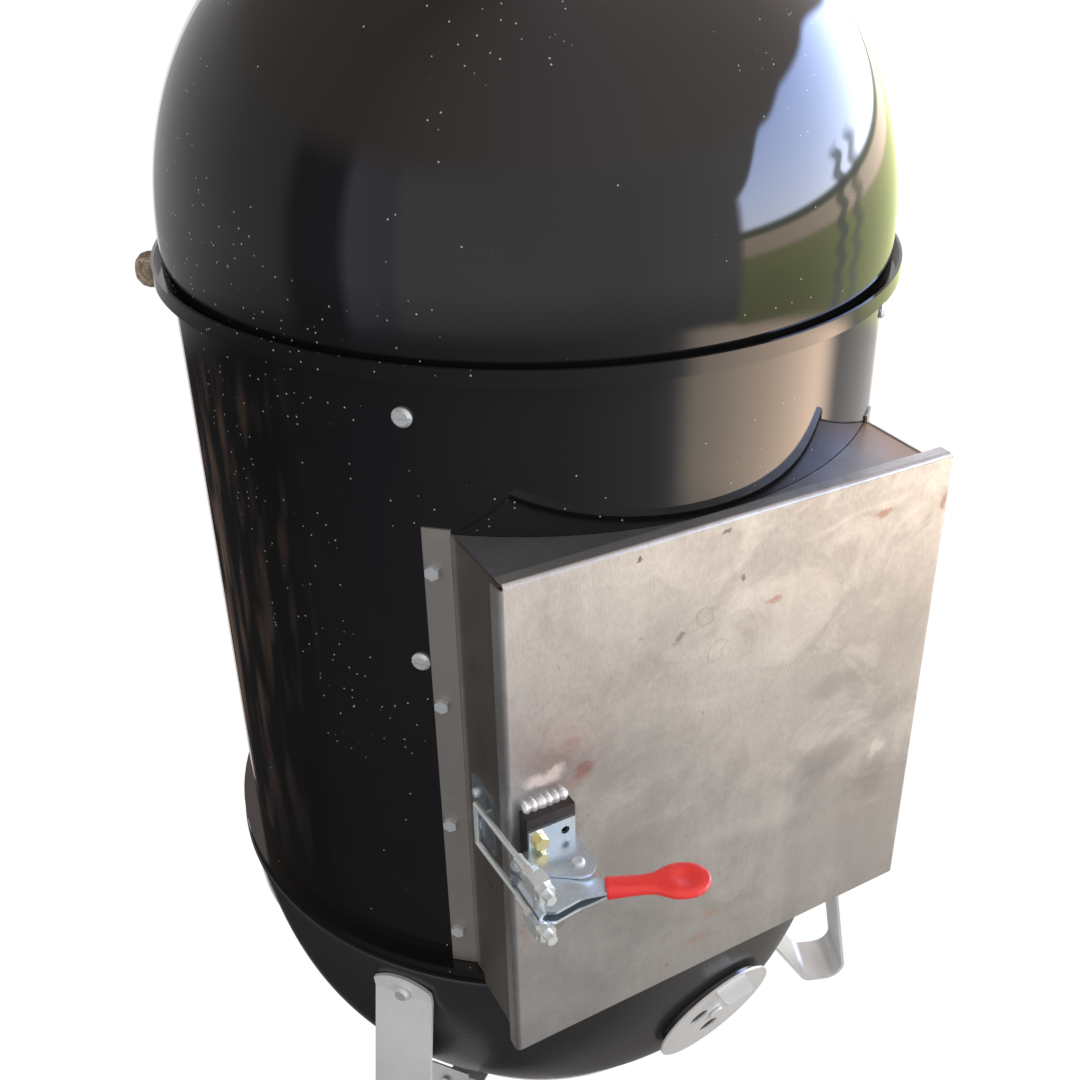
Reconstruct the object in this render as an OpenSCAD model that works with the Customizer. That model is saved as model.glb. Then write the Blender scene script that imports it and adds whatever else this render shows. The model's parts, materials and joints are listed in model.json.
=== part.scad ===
// Vertical water smoker: charcoal bowl on strip legs, barrel, lid, and a boxed
// loading door held by an over-centre latch. Millimetres. +Z up, door faces -Y.

/* [Node to draw] */
// Sub-part to draw, or "all"

/* [Barrel] */
// Outer radius of the barrel's straight wall
barrel_r = 235; // [200:1:290]
// Sheet thickness of the enamelled bodies
skin_t = 2; // [1:0.5:3]
// Height of the rim's top edge above the floor
rim_z = 749; // [650:1:900]
// How far the lip around the lid stands out from the barrel
lip_over = 10.2; // [6:0.1:20]
// Height of that lip
lip_h = 10; // [6:1:20]
// Height of the barrel's lower lip, underside
foot_lip_z = 304; // [280:1:340]
// Height of the lower lip
foot_lip_h = 6; // [4:0.5:12]
// How far the lower lip stands out from the barrel
foot_lip_over = 9.3; // [5:0.1:18]
// How far the skirt drops below the bowl's rim
skirt_drop = 15; // [6:1:30]

/* [Lid] */
// How far the lid's skirt stands out from the barrel
lid_over = 4; // [1:0.1:8]
// Height of the dome above its widest line
lid_h = 232.6; // [150:0.1:300]
// Roundness exponent of the dome
lid_n = 2.12; // [1.8:0.01:3]
// Height of the widest line above the rim
lid_eq = 9.4; // [0:0.1:30]

/* [Charcoal bowl] */
// How far the bowl's curve stands out from the barrel at its widest
bowl_over = 11.25; // [9:0.25:20]
// Depth of the curve below its widest line
bowl_h = 373.5; // [250:0.5:450]
// Roundness exponent of the bowl
bowl_n = 3.402; // [2:0.001:5]
// How far the barrel's lower lip sits above the bowl's rim
rim_gap = 5; // [3:0.5:10]
// Distance from the rim up to the curve's widest line
bowl_eq_up = 152.7; // [100:0.1:200]
// How far the rim bead stands out from the bowl's wall
bead_over = 2.3; // [1:0.1:6]

/* [Vent dampers] */
// Radius of a bowl damper disc
damper_r = 49.5; // [35:0.5:60]
// Distance of the dampers' centres below the rim
damper_drop = 98; // [80:1:140]
// Direction of the first damper from the door
damper_az = 6; // [-30:0.1:60]
// Radius of each vent hole
vent_r = 8; // [6:0.5:14]
// Distance of the vent holes from the damper's centre
vent_pcd_r = 22; // [18:1:36]
// Radius of the lid damper disc
lid_damper_r = 45; // [30:1:55]

/* [Legs and heat shield] */
// Width of a leg strip
leg_w = 44.6; // [30:0.1:60]
// Thickness of a leg strip
leg_t = 2.5; // [2:0.5:5]
// Direction of the first leg from the door
leg_az = -51.8; // [-70:0.1:-40]
// Distance of the heat shield's rim inside the legs' ends
shield_in = 33; // [15:0.5:60]
// Depth of the heat shield's dish
shield_d = 26; // [10:0.5:40]

/* [Door box] */
// Left outer face of the box, from the middle plane
box_left = 148; // [100:0.5:180]
// Right outer face of the box
box_right = 151; // [100:0.5:180]
// Sheet thickness of the box and door
plate_t = 1.5; // [1:0.5:3]
// How far the box stands out in front of the barrel
box_depth = 10; // [6:0.5:60]
// Top face of the box
box_top = 646; // [560:1:700]
// Gap between the box's front edge and the door's back
door_gap = 2.1; // [1:0.1:6]
// How far the door passes the box on the left
door_past = 1.8; // [0.5:0.1:6]
// How far the hinge line is right of the box
hinge_off = 7.8; // [7:0.1:12]
// How far the door hangs below the box
door_drop = 11.5; // [0:0.5:12]
// Depth of the door's turned-back edge
door_lip = 10.2; // [6:0.1:24]
// Outside radius of the door's bends
bend_r = 3; // [2:0.5:6]

/* [Latch] */
// Height of the latch's middle
latch_z = 465.75; // [400:0.25:560]
// Lever pivot, left of the box's side
piv_side = 3; // [2:0.5:8]
// Lever pivot, in front of the door face
piv_n = 18; // [14:0.5:30]
// Cross pin, left of the box's side
tru_side = 6.5; // [5:0.5:12]
// Cross pin, in front of the door face
tru_n = 47; // [35:0.5:60]
// Distance between the U-bolt's rods
rod_pitch = 30; // [28:1:40]
// Angle of the U-bolt off square to the door
hook_a = 2.5; // [0:0.5:6]
// Thread radius of the U-bolt
thread_r = 3; // [2:0.5:4]

/* [Cooking parts] */
// Gap around the upper grate inside the barrel
grate_gap = 11; // [5:0.5:20]
// How much smaller in radius the lower grate is
grate_step = 6; // [0:0.5:15]
// Gap around the water pan's body inside the barrel
pan_gap = 36; // [25:1:60]
// Depth of the water pan
pan_h = 115; // [60:1:160]
// Gap around the charcoal grate inside the bowl
coal_gap = 8; // [4:0.5:20]
// How far the charcoal ring stands inside its grate's edge
ring_in = 8; // [3:0.5:30]
// Height of the charcoal ring
ring_h = 127; // [60:1:140]

/* [Hidden] */
$fn = 96;
axis_x = -13;                                  // barrel axis in the row, so the row's box is centred
axis_y = 24;

// Clearances and standard hardware
run_c = 0.08;                                  // radial play of a turning pin
hole_c = 0.1;                                  // radial play of a bolt in its hole
m6_r = 3;
m5_r = 2.5;
gap = 0.3;                                     // between pieces that move apart
lip_r = barrel_r + lip_over;
foot_lip_r = barrel_r + foot_lip_over;
foot_lip_top = foot_lip_z + foot_lip_h;
lid_r = barrel_r + lid_over;
bowl_r = barrel_r + bowl_over;
bowl_rim_z = foot_lip_z - rim_gap;
bowl_eq = bowl_rim_z + bowl_eq_up;
skirt_z = bowl_rim_z - skirt_drop;
damper_z = bowl_rim_z - damper_drop;
lid_seat_z = rim_z - lip_h + skin_t;
lid_eq_z = rim_z + lid_eq;
lid_top_z = lid_eq_z + lid_h;
damper_gap = 0.4;                              // under each damper disc
pin_hub_r = 3;                                 // radius of the dampers' rivets
flange_in_r = barrel_r + 0.15;
flange_w = 15.6;                               // width of the box's bolting strips
flange_bolt_w = 10.2;                          // from the box's side to the strip's bolts
function arc_deg(w) = w / flange_in_r * 180 / PI;
flange_az_l = -(asin(box_left / flange_in_r) + arc_deg(flange_bolt_w));
flange_az_r = asin(box_right / flange_in_r) + arc_deg(flange_bolt_w);
strap_first = asin(box_left / flange_in_r) + arc_deg(flange_w + 6.3);
strap_az = [for (i = [0 : 3]) 90 * i - strap_first];
up_shelf_z = rim_z - 47;
low_shelf_z = up_shelf_z - 132;
pan_shelf_z = low_shelf_z - 23;
strap_lo_z = pan_shelf_z - 9;
strap_hi_z = up_shelf_z + 26;
strap_bolt_z = [strap_lo_z + 18.6, strap_hi_z - 13];
box_bottom = foot_lip_z;
flange_bolt_z = [for (i = [0 : 3]) box_bottom + 36 + i * (box_top - box_bottom - 60.8) / 3];
box_front = barrel_r + box_depth;
door_back = box_front + door_gap;
door_front = door_back + plate_t;
door_left = box_left + door_past;
hinge_x = box_right + hinge_off;
door_right = hinge_x + 7.9;
door_top = box_top + 0.5 + plate_t;
door_bottom = box_bottom - door_drop;
hinge_n = box_front - 4.6;
pin_r = 2.25;
knuckle_r = 4;
hinge_len = 50;
hinge_z = [box_bottom + 46, box_top - 101];
leg_bolt_z = bowl_rim_z - 27.8;
leg_top_z = bowl_rim_z - 12.7;
piv_x = -(box_left + piv_side);
tru_x = -(box_left + tru_side);
rod_lo = latch_z - 10.75;
rod_hi = rod_lo + rod_pitch;
base_lo = latch_z - 6.75;
base_hi = latch_z + 6.75;
lever_t = 1.9;
coal_z = bowl_rim_z - 148;
upper_grate_r = barrel_r - skin_t - grate_gap;
lower_grate_r = upper_grate_r - grate_step;
pan_r = barrel_r - skin_t - pan_gap;
coal_in_r = sup_r(bowl_r - skin_t, bowl_h - skin_t, bowl_n, bowl_eq - coal_z);
coal_grate_r = coal_in_r - coal_gap;
ring_r = coal_grate_r - ring_in;

// Superellipse of radius R and height H: radius and slope at height h from its widest line
function sup_r(R, H, n, h) = R * pow(1 - pow(h / H, n), 1 / n);
function sup_slope(R, H, n, h) = -(R / H) * pow(h / H, n - 1) * pow(1 - pow(h / H, n), 1 / n - 1);
function unit(v) = v / norm(v);
// Thin strips in profile: a path, offset to one side by the sheet's thickness
function side(a, b) = let(d = unit(b - a)) [-d[1], d[0]];
function off_pt(P, i, t) =
  i == 0 ? P[0] + t * side(P[0], P[1]) :
  i == len(P) - 1 ? P[i] + t * side(P[i - 1], P[i]) :
  let(a = side(P[i - 1], P[i]), b = side(P[i], P[i + 1]), m = unit(a + b)) P[i] + t / (m * a) * m;
function strip(P, t) = concat(P, [for (i = [len(P) - 1 : -1 : 0]) off_pt(P, i, t)]);
function arc(c, r, a0, a1, k) =
  [for (i = [0 : k]) let(a = a0 + (a1 - a0) * i / k) [c[0] + r * cos(a), c[1] + r * sin(a)]];
function hexpts(af) =
  [for (i = [0 : 5]) [af / 2 / cos(30) * cos(60 * i + 30), af / 2 / cos(30) * sin(60 * i + 30)]];

// Placing: n is the distance in front of the barrel's axis, az the direction from the door
module box(x0, x1, n0, n1, z0, z1) translate([x0, -n1, z0]) cube([x1 - x0, n1 - n0, z1 - z0]);
module at_axis() translate([axis_x, axis_y, 0]) children();
module az(a) rotate([0, 0, a]) children();
module outward(r, z, tilt = 0) translate([0, -r, z]) rotate([90 - tilt, 0, 0]) children();
module tube(ro, ri, h) difference() {
  cylinder(r = ro, h = h);
  translate([0, 0, -1]) cylinder(r = ri, h = h + 2);
}
module hexprism(af, h) linear_extrude(height = h) polygon(hexpts(af));
module plan(z0, h) translate([0, 0, z0]) linear_extrude(height = h) children();

// Curves of the lid and of the bowl
function dome_pts(R, H, n, z0, k) =
  [for (i = [0 : k]) let(a = 90 * i / k) [R * pow(max(cos(a), 0), 2 / n), z0 + H * pow(sin(a), 2 / n)]];
lid_out = dome_pts(lid_r, lid_h, lid_n, lid_eq_z, 26);
lid_in = dome_pts(lid_r - skin_t, lid_h - skin_t, lid_n, lid_eq_z, 26);
bowl_top_h = bowl_eq - bowl_rim_z;
bowl_wall_r = sup_r(bowl_r, bowl_h, bowl_n, bowl_top_h);
bowl_a0 = acos(pow(sup_r(bowl_r, bowl_h, bowl_n, bowl_top_h) / bowl_r, bowl_n / 2));
function bowl_pts(R, H, k, a0) =
  [for (i = [0 : k])
    let(a = a0 + (90 - a0) * i / k) [R * pow(max(cos(a), 0), 2 / bowl_n),
      bowl_eq - H * pow(sin(a), 2 / bowl_n)]];
bowl_tilt_deg = atan(-sup_slope(bowl_r, bowl_h, bowl_n, bowl_eq - damper_z));
damper_surf_r = sup_r(bowl_r, bowl_h, bowl_n, bowl_eq - damper_z);
seat_proud = 0.8;                              // the dampers' flat seats stand this far off the curve
seat_r = damper_r - 8;
lid_seat_r = lid_damper_r - 7;
damper_turn = [60, 60, 180];                   // each bowl damper as it is left, all three shut
lid_dh = 0.86 * lid_h;                         // height of the lid damper up the dome
lid_damper_az = 130;
lid_damper_surf_r = sup_r(lid_r, lid_h, lid_n, lid_dh);
lid_damper_tilt = atan(-sup_slope(lid_r, lid_h, lid_n, lid_dh));
therm_h = 0.4 * lid_h;
post_x = 42;                                   // lid handle posts, either side of the middle
plug_az = -114.6;                              // direction of the probe hole's plug
plug_z = rim_z - 23;
therm_az = 200;
therm_surf_r = sup_r(lid_r, lid_h, lid_n, therm_h);
therm_tilt = atan(-sup_slope(lid_r, lid_h, lid_n, therm_h));

// Places on the bowl and the lid, with +Z outward
module on_bowl(i) az(damper_az + 120 * i) outward(damper_surf_r, damper_z, -bowl_tilt_deg) children();
module on_lid_damper() az(lid_damper_az)
  outward(lid_damper_surf_r, lid_eq_z + lid_dh, lid_damper_tilt) children();
module on_lid_therm() az(therm_az) outward(therm_surf_r, lid_eq_z + therm_h, therm_tilt) children();
module vents(r, h) for (k = [0 : 2]) rotate([0, 0, 90 + 120 * k])
  translate([vent_pcd_r, 0, 0]) cylinder(r = r, h = h);

tab_r = sup_r(bowl_r - skin_t, bowl_h - skin_t, bowl_n, bowl_eq - coal_z + 2) + 0.7;
module bowl_solid(t) rotate_extrude() polygon(concat(
  [[0, bowl_rim_z]], bowl_pts(bowl_r - t, bowl_h - t, 26, bowl_a0)));

// Bowl with a rim bead, three flat damper seats and three tabs for the charcoal grate
module charcoal_bowl() color([0.09, 0.09, 0.1]) at_axis() difference() {
  union() {
    difference() {
      union() {
        difference() {
          bowl_solid(0);
          translate([0, 0, 0.01]) bowl_solid(skin_t);
          translate([0, 0, bowl_rim_z - 0.5]) cylinder(r = bowl_r, h = 3);
        }
        translate([0, 0, bowl_rim_z - 5]) tube(bowl_wall_r + bead_over, bowl_wall_r - 2.5, 5);
      }
      for (i = [0 : 2]) on_bowl(i) translate([0, 0, -9]) cylinder(r = seat_r, h = 12);
    }
    for (i = [0 : 2]) on_bowl(i) difference() {
      translate([0, 0, -8]) cylinder(r = seat_r + skin_t, h = 8 + seat_proud);
      translate([0, 0, -9]) cylinder(r = seat_r, h = 8);
    }
    for (i = [0 : 2]) az(leg_az + 120 * i) translate([-10, -tab_r, coal_z - 2]) cube([20, 22, 2]);
  }
  for (i = [0 : 2]) on_bowl(i) translate([0, 0, -4]) {
    vents(vent_r, 8);
    cylinder(r = pin_hub_r, h = 8);
  }
  for (i = [0 : 2]) az(leg_az + 120 * i) translate([0, -bowl_in_leg + 10, leg_bolt_z])
    rotate([90, 0, 0]) cylinder(r = m6_r + hole_c, h = 20);
}

// Round damper with a folded-up thumb tab, its outer corners rounded
tab_h = 13.5;
tab_corner = 4;
module thumb_tab(w) {
  translate([0, -w / 2, 0.5]) cube([1.5, w, tab_h - tab_corner]);
  translate([0, tab_corner - w / 2, 1]) cube([1.5, w - 2 * tab_corner, tab_h - 0.5]);
  for (y = [-1, 1] * (w / 2 - tab_corner)) translate([0, y, tab_h + 0.5 - tab_corner])
    rotate([0, 90, 0]) cylinder(r = tab_corner, h = 1.5);
}
module damper_disc(R, tabw, taba) {
  difference() {
    union() {
      cylinder(r = R, h = 1.5);
      rotate([0, 0, taba]) translate([R - 7, 0, 0]) thumb_tab(tabw);
    }
    translate([0, 0, -1]) {
      vents(vent_r, 4);
      cylinder(r = pin_hub_r + run_c, h = 4);
    }
  }
}
module bowl_damper(i) color([0.78, 0.79, 0.8]) at_axis() on_bowl(i)
  translate([0, 0, seat_proud + damper_gap]) rotate([0, 0, damper_turn[i]])
    damper_disc(damper_r, 27.5, 28);
module bowl_damper_1() bowl_damper(0);
module bowl_damper_2() bowl_damper(1);
module bowl_damper_3() bowl_damper(2);
module rivet(z0, len, r, hr) {
  translate([0, 0, z0]) cylinder(r = r, h = len);
  translate([0, 0, z0 + len]) cylinder(r = hr, h = 2);
  translate([0, 0, z0 - 1.5]) cylinder(r = hr, h = 1.5);
}
module damper_rivets() color([0.72, 0.73, 0.75]) at_axis() for (i = [0 : 2]) on_bowl(i)
  rivet(-1, seat_proud + 1 + 2 * damper_gap + 1.5, pin_hub_r, 6);

// Leg strip: down from the bowl, round the foot and back up as the return
foot_r = bowl_r + 36;
foot_bend = 18;
heel_bend = 12;
ret_ang = 57.6;                                // rise of the strip's return
ret_len = 119.4;
ret_dir = [-cos(ret_ang), sin(ret_ang)];
leg_in_top = sup_r(bowl_r, bowl_h, bowl_n, bowl_eq - leg_top_z - 0.7) + 0.15;
leg_in_mid = sup_r(bowl_r, bowl_h, bowl_n, bowl_eq - leg_top_z + 18.3) + 0.15;
leg_path = concat([[leg_in_top + leg_t, leg_top_z + 0.7], [leg_in_mid + leg_t, leg_top_z - 18.3]],
  arc([foot_r - foot_bend, foot_bend], foot_bend, 0, -90, 8),
    arc([foot_r - 32, heel_bend], heel_bend, -90, ret_ang - 205.2, 6));
ret_a = leg_path[len(leg_path) - 1];
shield_bolt_s = 108;
shield_bolt_off = -8;
module radial_profile(w) rotate([90, 0, -90]) translate([0, 0, -w / 2]) linear_extrude(height = w)
  children();
module at_return(s, off = 0) translate([off, -(ret_a[0] + ret_dir[0] * s), ret_a[1] + ret_dir[1] * s])
  rotate([ret_ang, 0, 0]) children();

leg_front_r = 32.4;                            // arc over the strip's top
module leg_outline() rotate([90, 0, 0]) linear_extrude(height = 2 * foot_r)
  polygon(concat([[-leg_w, -10], [leg_w, -10], [leg_w, leg_top_z - 86]],
  [[leg_w / 2 + 0.01, leg_top_z - 36]],
    arc([0, leg_top_z - leg_front_r], leg_front_r, leg_arc_a, 180 - leg_arc_a, 14),
      [[-leg_w / 2 - 0.01, leg_top_z - 36], [-leg_w, leg_top_z - 86]]));
leg_arc_a = acos(leg_w / 2 / leg_front_r) - 0.3;
module leg() difference() {
  union() {
    intersection() {
      radial_profile(leg_w) polygon(strip(concat(leg_path, [ret_a + ret_dir * 6]), -leg_t));
      leg_outline();
    }
    at_return(2) linear_extrude(height = leg_t) polygon([[-leg_w / 2 + 0.1, 0], [leg_w / 2 - 0.1, 0],
      [leg_w / 2 - 9.3, ret_len - 10], [leg_w / 2 - 14.3, ret_len - 2],
        [-leg_w / 2 - 1.7, ret_len - 2], [-leg_w / 2 - 6.7, ret_len - 8]]);
  }
  translate([0, -bowl_in_leg + 10, leg_bolt_z]) rotate([90, 0, 0]) cylinder(r = m6_r + hole_c, h = 30);
  at_return(shield_bolt_s, shield_bolt_off) translate([0, 0, -10]) cylinder(r = m6_r + hole_c, h = 20);
}
module leg_1() color([0.8, 0.8, 0.81]) at_axis() az(leg_az) leg();
module leg_2() color([0.8, 0.8, 0.81]) at_axis() az(leg_az + 120) leg();
module leg_3() color([0.8, 0.8, 0.81]) at_axis() az(leg_az + 240) leg();

// Fasteners of the legs
module pan_head(r, h, slot) difference() {
  union() {
    cylinder(r = r, h = h * 0.45);
    translate([0, 0, h * 0.45]) cylinder(r1 = r, r2 = r * 0.72, h = h * 0.55);
  }
  if (slot > 0) translate([-r - 1, -slot / 2, h * 0.55]) cube([2 * r + 2, slot, h]);
}
leg_face_r = leg_path[1][0]
  + (leg_path[0][0] - leg_path[1][0]) * (leg_bolt_z - leg_path[1][1]) / (leg_path[0][1] - leg_path[1][1]);
bowl_in_leg = sup_r(bowl_r - skin_t, bowl_h - skin_t, bowl_n, bowl_eq - leg_bolt_z);
module leg_bolts() color([0.74, 0.75, 0.77]) at_axis() for (i = [0 : 2]) az(leg_az + 120 * i)
  translate([0, 0, leg_bolt_z]) rotate([90, 0, 0]) {
  translate([0, 0, bowl_in_leg - 9]) cylinder(r = m6_r, h = leg_face_r + 1.2 - bowl_in_leg + 9);
  translate([0, 0, leg_face_r + 0.6]) pan_head(5.8, 3.6, 0);
}
module leg_nuts() color([0.74, 0.75, 0.77]) at_axis() for (i = [0 : 2]) az(leg_az + 120 * i)
  translate([0, 0, leg_bolt_z]) rotate([90, 0, 0])
  translate([0, 0, bowl_in_leg - 6.2]) difference() {
    hexprism(10, 5.2);
    translate([0, 0, -1]) cylinder(r = m6_r, h = 8);
  }

// Dished heat shield, hung from the legs' returns by three ears
shield_z = ret_a[1] + 79;
ear_r = ret_a[0] + ret_dir[0] * (shield_z - ret_a[1]) / ret_dir[1];
shield_r = ear_r - shield_in;
module heat_shield() color([0.76, 0.77, 0.78]) at_axis() difference() {
  union() {
    rotate_extrude()
      polygon([[0, shield_z - shield_d], [shield_r - 32, shield_z - shield_d],
        [shield_r - 8, shield_z], [shield_r, shield_z], [shield_r, shield_z + 1.5],
      [shield_r - 8.7, shield_z + 1.5], [shield_r - 32.7, shield_z - shield_d + 1.5],
        [0, shield_z - shield_d + 1.5]]);
    for (i = [0 : 2]) az(leg_az + 120 * i) radial_profile(30)
      polygon(strip([[shield_r - 6, shield_z], [ear_r, shield_z], ret_a + ret_dir * (ret_len - 3)],
        1.5));
  }
  for (i = [0 : 2]) az(leg_az + 120 * i) at_return(shield_bolt_s, shield_bolt_off)
    translate([0, 0, -10]) cylinder(r = m6_r + hole_c, h = 20);
}
module shield_bolts() color([0.74, 0.75, 0.77]) at_axis() for (i = [0 : 2]) az(leg_az + 120 * i)
  at_return(shield_bolt_s, shield_bolt_off) {
  translate([0, 0, -1.5 - 5]) cylinder(r = m6_r, h = 5 + 1.5 + leg_t);
  translate([0, 0, leg_t]) pan_head(5.5, 3.4, 0);
  translate([0, 0, -1.5 - 5]) hexprism(10, 5);
}

// Wire grate: a rim, straight bars and two cross rods
module grate(R, z, step, bar_r) {
  translate([0, 0, z]) tube(R, R - 6, 6);
  n = floor((R - 8) / step);
  for (k = [-n : n]) let(x = k * step, L = sqrt(pow(R - 3, 2) - x * x)) translate([x, L, z + 3.2])
    rotate([90, 0, 0]) cylinder(r = bar_r, h = 2 * L, $fn = 24);
  for (x = [-R * 0.45, R * 0.45]) let(L = sqrt(pow(R - 3, 2) - x * x))
    translate([-L, x, z + 0.6 + 1.8]) rotate([0, 90, 0]) cylinder(r = 1.8, h = 2 * L, $fn = 24);
}
module upper_grate() color([0.66, 0.67, 0.69]) at_axis() grate(upper_grate_r, up_shelf_z, 17, 2.2);
module lower_grate() color([0.62, 0.63, 0.65]) at_axis() grate(lower_grate_r, low_shelf_z, 18, 2.2);
module charcoal_grate() color([0.45, 0.45, 0.46]) at_axis() grate(coal_grate_r, coal_z, 22, 2.6);
// Perforated ring round the coals
module charcoal_ring() color([0.55, 0.55, 0.56]) at_axis() difference() {
  translate([0, 0, coal_z + 6]) tube(ring_r, ring_r - 1.2, ring_h);
  for (k = [0 : 11]) for (z = [0.25, 0.5, 0.75]) az(30 * k + 60 * z)
    translate([0, -ring_r + 10, coal_z + 6 + ring_h * z]) rotate([90, 0, 0])
      cylinder(r = 10, h = 20, $fn = 32);
}
// Water pan hung by its rolled rim
module water_pan() color([0.1, 0.1, 0.11]) at_axis() rotate_extrude()
  polygon([[0, pan_shelf_z - pan_h], [pan_r - 22, pan_shelf_z - pan_h],
    [pan_r - 12, pan_shelf_z - pan_h + 8],
  [pan_r, pan_shelf_z], [pan_r + 9, pan_shelf_z], [pan_r + 9, pan_shelf_z + 1.5],
    [pan_r - 1.5, pan_shelf_z + 1.5],
  [pan_r - 13.5, pan_shelf_z - pan_h + 9.5], [pan_r - 23, pan_shelf_z - pan_h + 1.5],
    [0, pan_shelf_z - pan_h + 1.5]]);

// Strap inside the barrel with a shelf for each grate and the pan
module grate_strap(a) color([0.6, 0.61, 0.63]) at_axis() az(a) difference() {
  union() {
    intersection() {
      translate([0, 0, strap_lo_z])
        tube(barrel_r - skin_t - 0.1, barrel_r - skin_t - 2.1, strap_hi_z - strap_lo_z);
      translate([-6, -barrel_r, strap_lo_z - 10]) cube([12, 60, strap_hi_z - strap_lo_z + 20]);
    }
    for (s = [[up_shelf_z, upper_grate_r - 12], [low_shelf_z, lower_grate_r - 9],
      [pan_shelf_z, pan_r + 1.2]]) translate([-6, -(barrel_r - skin_t - 1), s[0] - 2])
        cube([12, barrel_r - skin_t - 1 - s[1], 2]);
  }
  for (z = strap_bolt_z) translate([0, -barrel_r + 15, z]) rotate([90, 0, 0])
    cylinder(r = m6_r + hole_c, h = 30);
}
module grate_strap_1() grate_strap(strap_az[0]);
module grate_strap_2() grate_strap(strap_az[1]);
module grate_strap_3() grate_strap(strap_az[2]);
module grate_strap_4() grate_strap(strap_az[3]);
module strap_bolts() color([0.74, 0.75, 0.77]) at_axis() for (a = strap_az) for (z = strap_bolt_z)
  az(a) translate([0, -barrel_r - 0.05, z]) rotate([90, 0, 0]) {
  translate([0, 0, -11]) cylinder(r = m6_r, h = 11);
  pan_head(5.9, 3.2, 1.4);
}
module strap_nuts() color([0.74, 0.75, 0.77]) at_axis() for (a = strap_az) for (z = strap_bolt_z) az(a)
  translate([0, -(barrel_r - skin_t - 2.3), z]) rotate([-90, 0, 0])
  difference() {
    hexprism(10, 5);
    translate([0, 0, -1]) cylinder(r = m6_r, h = 8);
  }

// Barrel with the lid's lip, the lower lip, the skirt and the door opening
module barrel() color([0.07, 0.07, 0.08]) at_axis() difference() {
  union() {
    translate([0, 0, skirt_z]) tube(barrel_r, barrel_r - skin_t, rim_z - lip_h + skin_t - skirt_z);
    translate([0, 0, rim_z - lip_h]) tube(lip_r, barrel_r - 1, skin_t);
    translate([0, 0, rim_z - lip_h]) tube(lip_r, lip_r - skin_t, lip_h);
    translate([0, 0, foot_lip_z + foot_lip_h - 1.5]) tube(foot_lip_r, barrel_r - 1, 1.5);
    translate([0, 0, foot_lip_z]) tube(foot_lip_r, foot_lip_r - 1.5, foot_lip_h);
    translate([0, 0, bowl_rim_z])
      tube(bowl_wall_r - 0.7, barrel_r - 1, foot_lip_top - 1.5 - bowl_rim_z);
  }
  intersection() {
    translate([0, 0, foot_lip_top + 20])
      cylinder(r = barrel_r + 20, h = box_top - 18 - foot_lip_top - 20);
    translate([-box_left + 20, -barrel_r - 50, foot_lip_z])
      cube([box_left + box_right - 41, barrel_r + 50, box_top]);
  }
  for (a = strap_az) for (z = strap_bolt_z) az(a) translate([0, -barrel_r + 15, z]) rotate([90, 0, 0])
    cylinder(r = m6_r + hole_c, h = 30);
  for (a = [flange_az_l, flange_az_r]) for (z = flange_bolt_z) az(a) translate([0, -barrel_r + 15, z])
    rotate([90, 0, 0]) cylinder(r = m5_r + hole_c, h = 30);
  az(plug_az) translate([0, -barrel_r + 15, plug_z]) rotate([90, 0, 0]) cylinder(r = 8, h = 30);
}
// Stopper in the probe hole
module probe_plug() color([0.5, 0.46, 0.4]) at_axis() az(plug_az)
  translate([0, -(barrel_r + 0.2), plug_z]) rotate([90, 0, 0]) {
  translate([0, 0, -9]) cylinder(r = 7.9, h = 10);
  cylinder(r = 12, h = 20);
  translate([0, 0, 20]) cylinder(r1 = 12, r2 = 10.6, h = 4);
  translate([0, 0, 24]) cylinder(r1 = 10.6, r2 = 7, h = 3.2);
}

// Box round the door opening: side panels with bolting strips, top and bottom plates
function yy(r, x) = sqrt(r * r - x * x);
module flange_profile(x, s) {
  a0 = asin((x - 0.5 * plate_t) / flange_in_r);
  a1 = asin(x / flange_in_r) + arc_deg(flange_w);
  polygon(concat([for (i = [0 : 6])
    let(a = a0 + (a1 - a0) * i / 6) [s * flange_in_r * sin(a), -flange_in_r * cos(a)]],
    [for (i = [6 : -1 : 0])
      let(a = a0 + (a1 - a0) * i / 6) [s * (flange_in_r + plate_t) * sin(a),
        -(flange_in_r + plate_t) * cos(a)]]));
}
box_in_n = yy(barrel_r, box_right) - 12;
module side_panel(x, s) {
  zl = foot_lip_top + 0.5;
  xa = min(s * x, s * (x - plate_t));
  plan(zl, box_top + 3 - zl) flange_profile(x, s);
  difference() {
    box(xa, xa + plate_t, box_in_n, box_front, zl, box_top);
    translate([0, 0, zl - 1]) cylinder(r = flange_in_r, h = 400);
  }
  difference() {
    box(xa, xa + plate_t, box_in_n, box_front, foot_lip_z, zl + 1);
    translate([0, 0, foot_lip_z - 1]) cylinder(r = foot_lip_r + 2, h = zl + 3 - foot_lip_z);
  }
}
module frame_left() color([0.42, 0.39, 0.37]) at_axis() difference() {
  side_panel(box_left, -1);
  for (z = flange_bolt_z) az(flange_az_l) translate([0, -barrel_r + 15, z]) rotate([90, 0, 0])
    cylinder(r = m5_r + hole_c, h = 30);
  for (p = keeper_screw) translate([-box_left - 5, -(door_front + p[0]), p[1]]) rotate([0, 90, 0])
    cylinder(r = 1.6, h = 10);
}
module frame_right() color([0.42, 0.39, 0.37]) at_axis() difference() {
  side_panel(box_right, 1);
  for (z = flange_bolt_z) az(flange_az_r) translate([0, -barrel_r + 15, z]) rotate([90, 0, 0])
    cylinder(r = m5_r + hole_c, h = 30);
}
module frame_top() color([0.4, 0.42, 0.46]) at_axis() difference() {
  box(-box_left + plate_t, box_right - plate_t, box_in_n, box_front, box_top - plate_t - 0.3,
    box_top - 0.3);
  translate([0, 0, box_top - 40]) cylinder(r = barrel_r + 0.3, h = 80);
}
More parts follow.
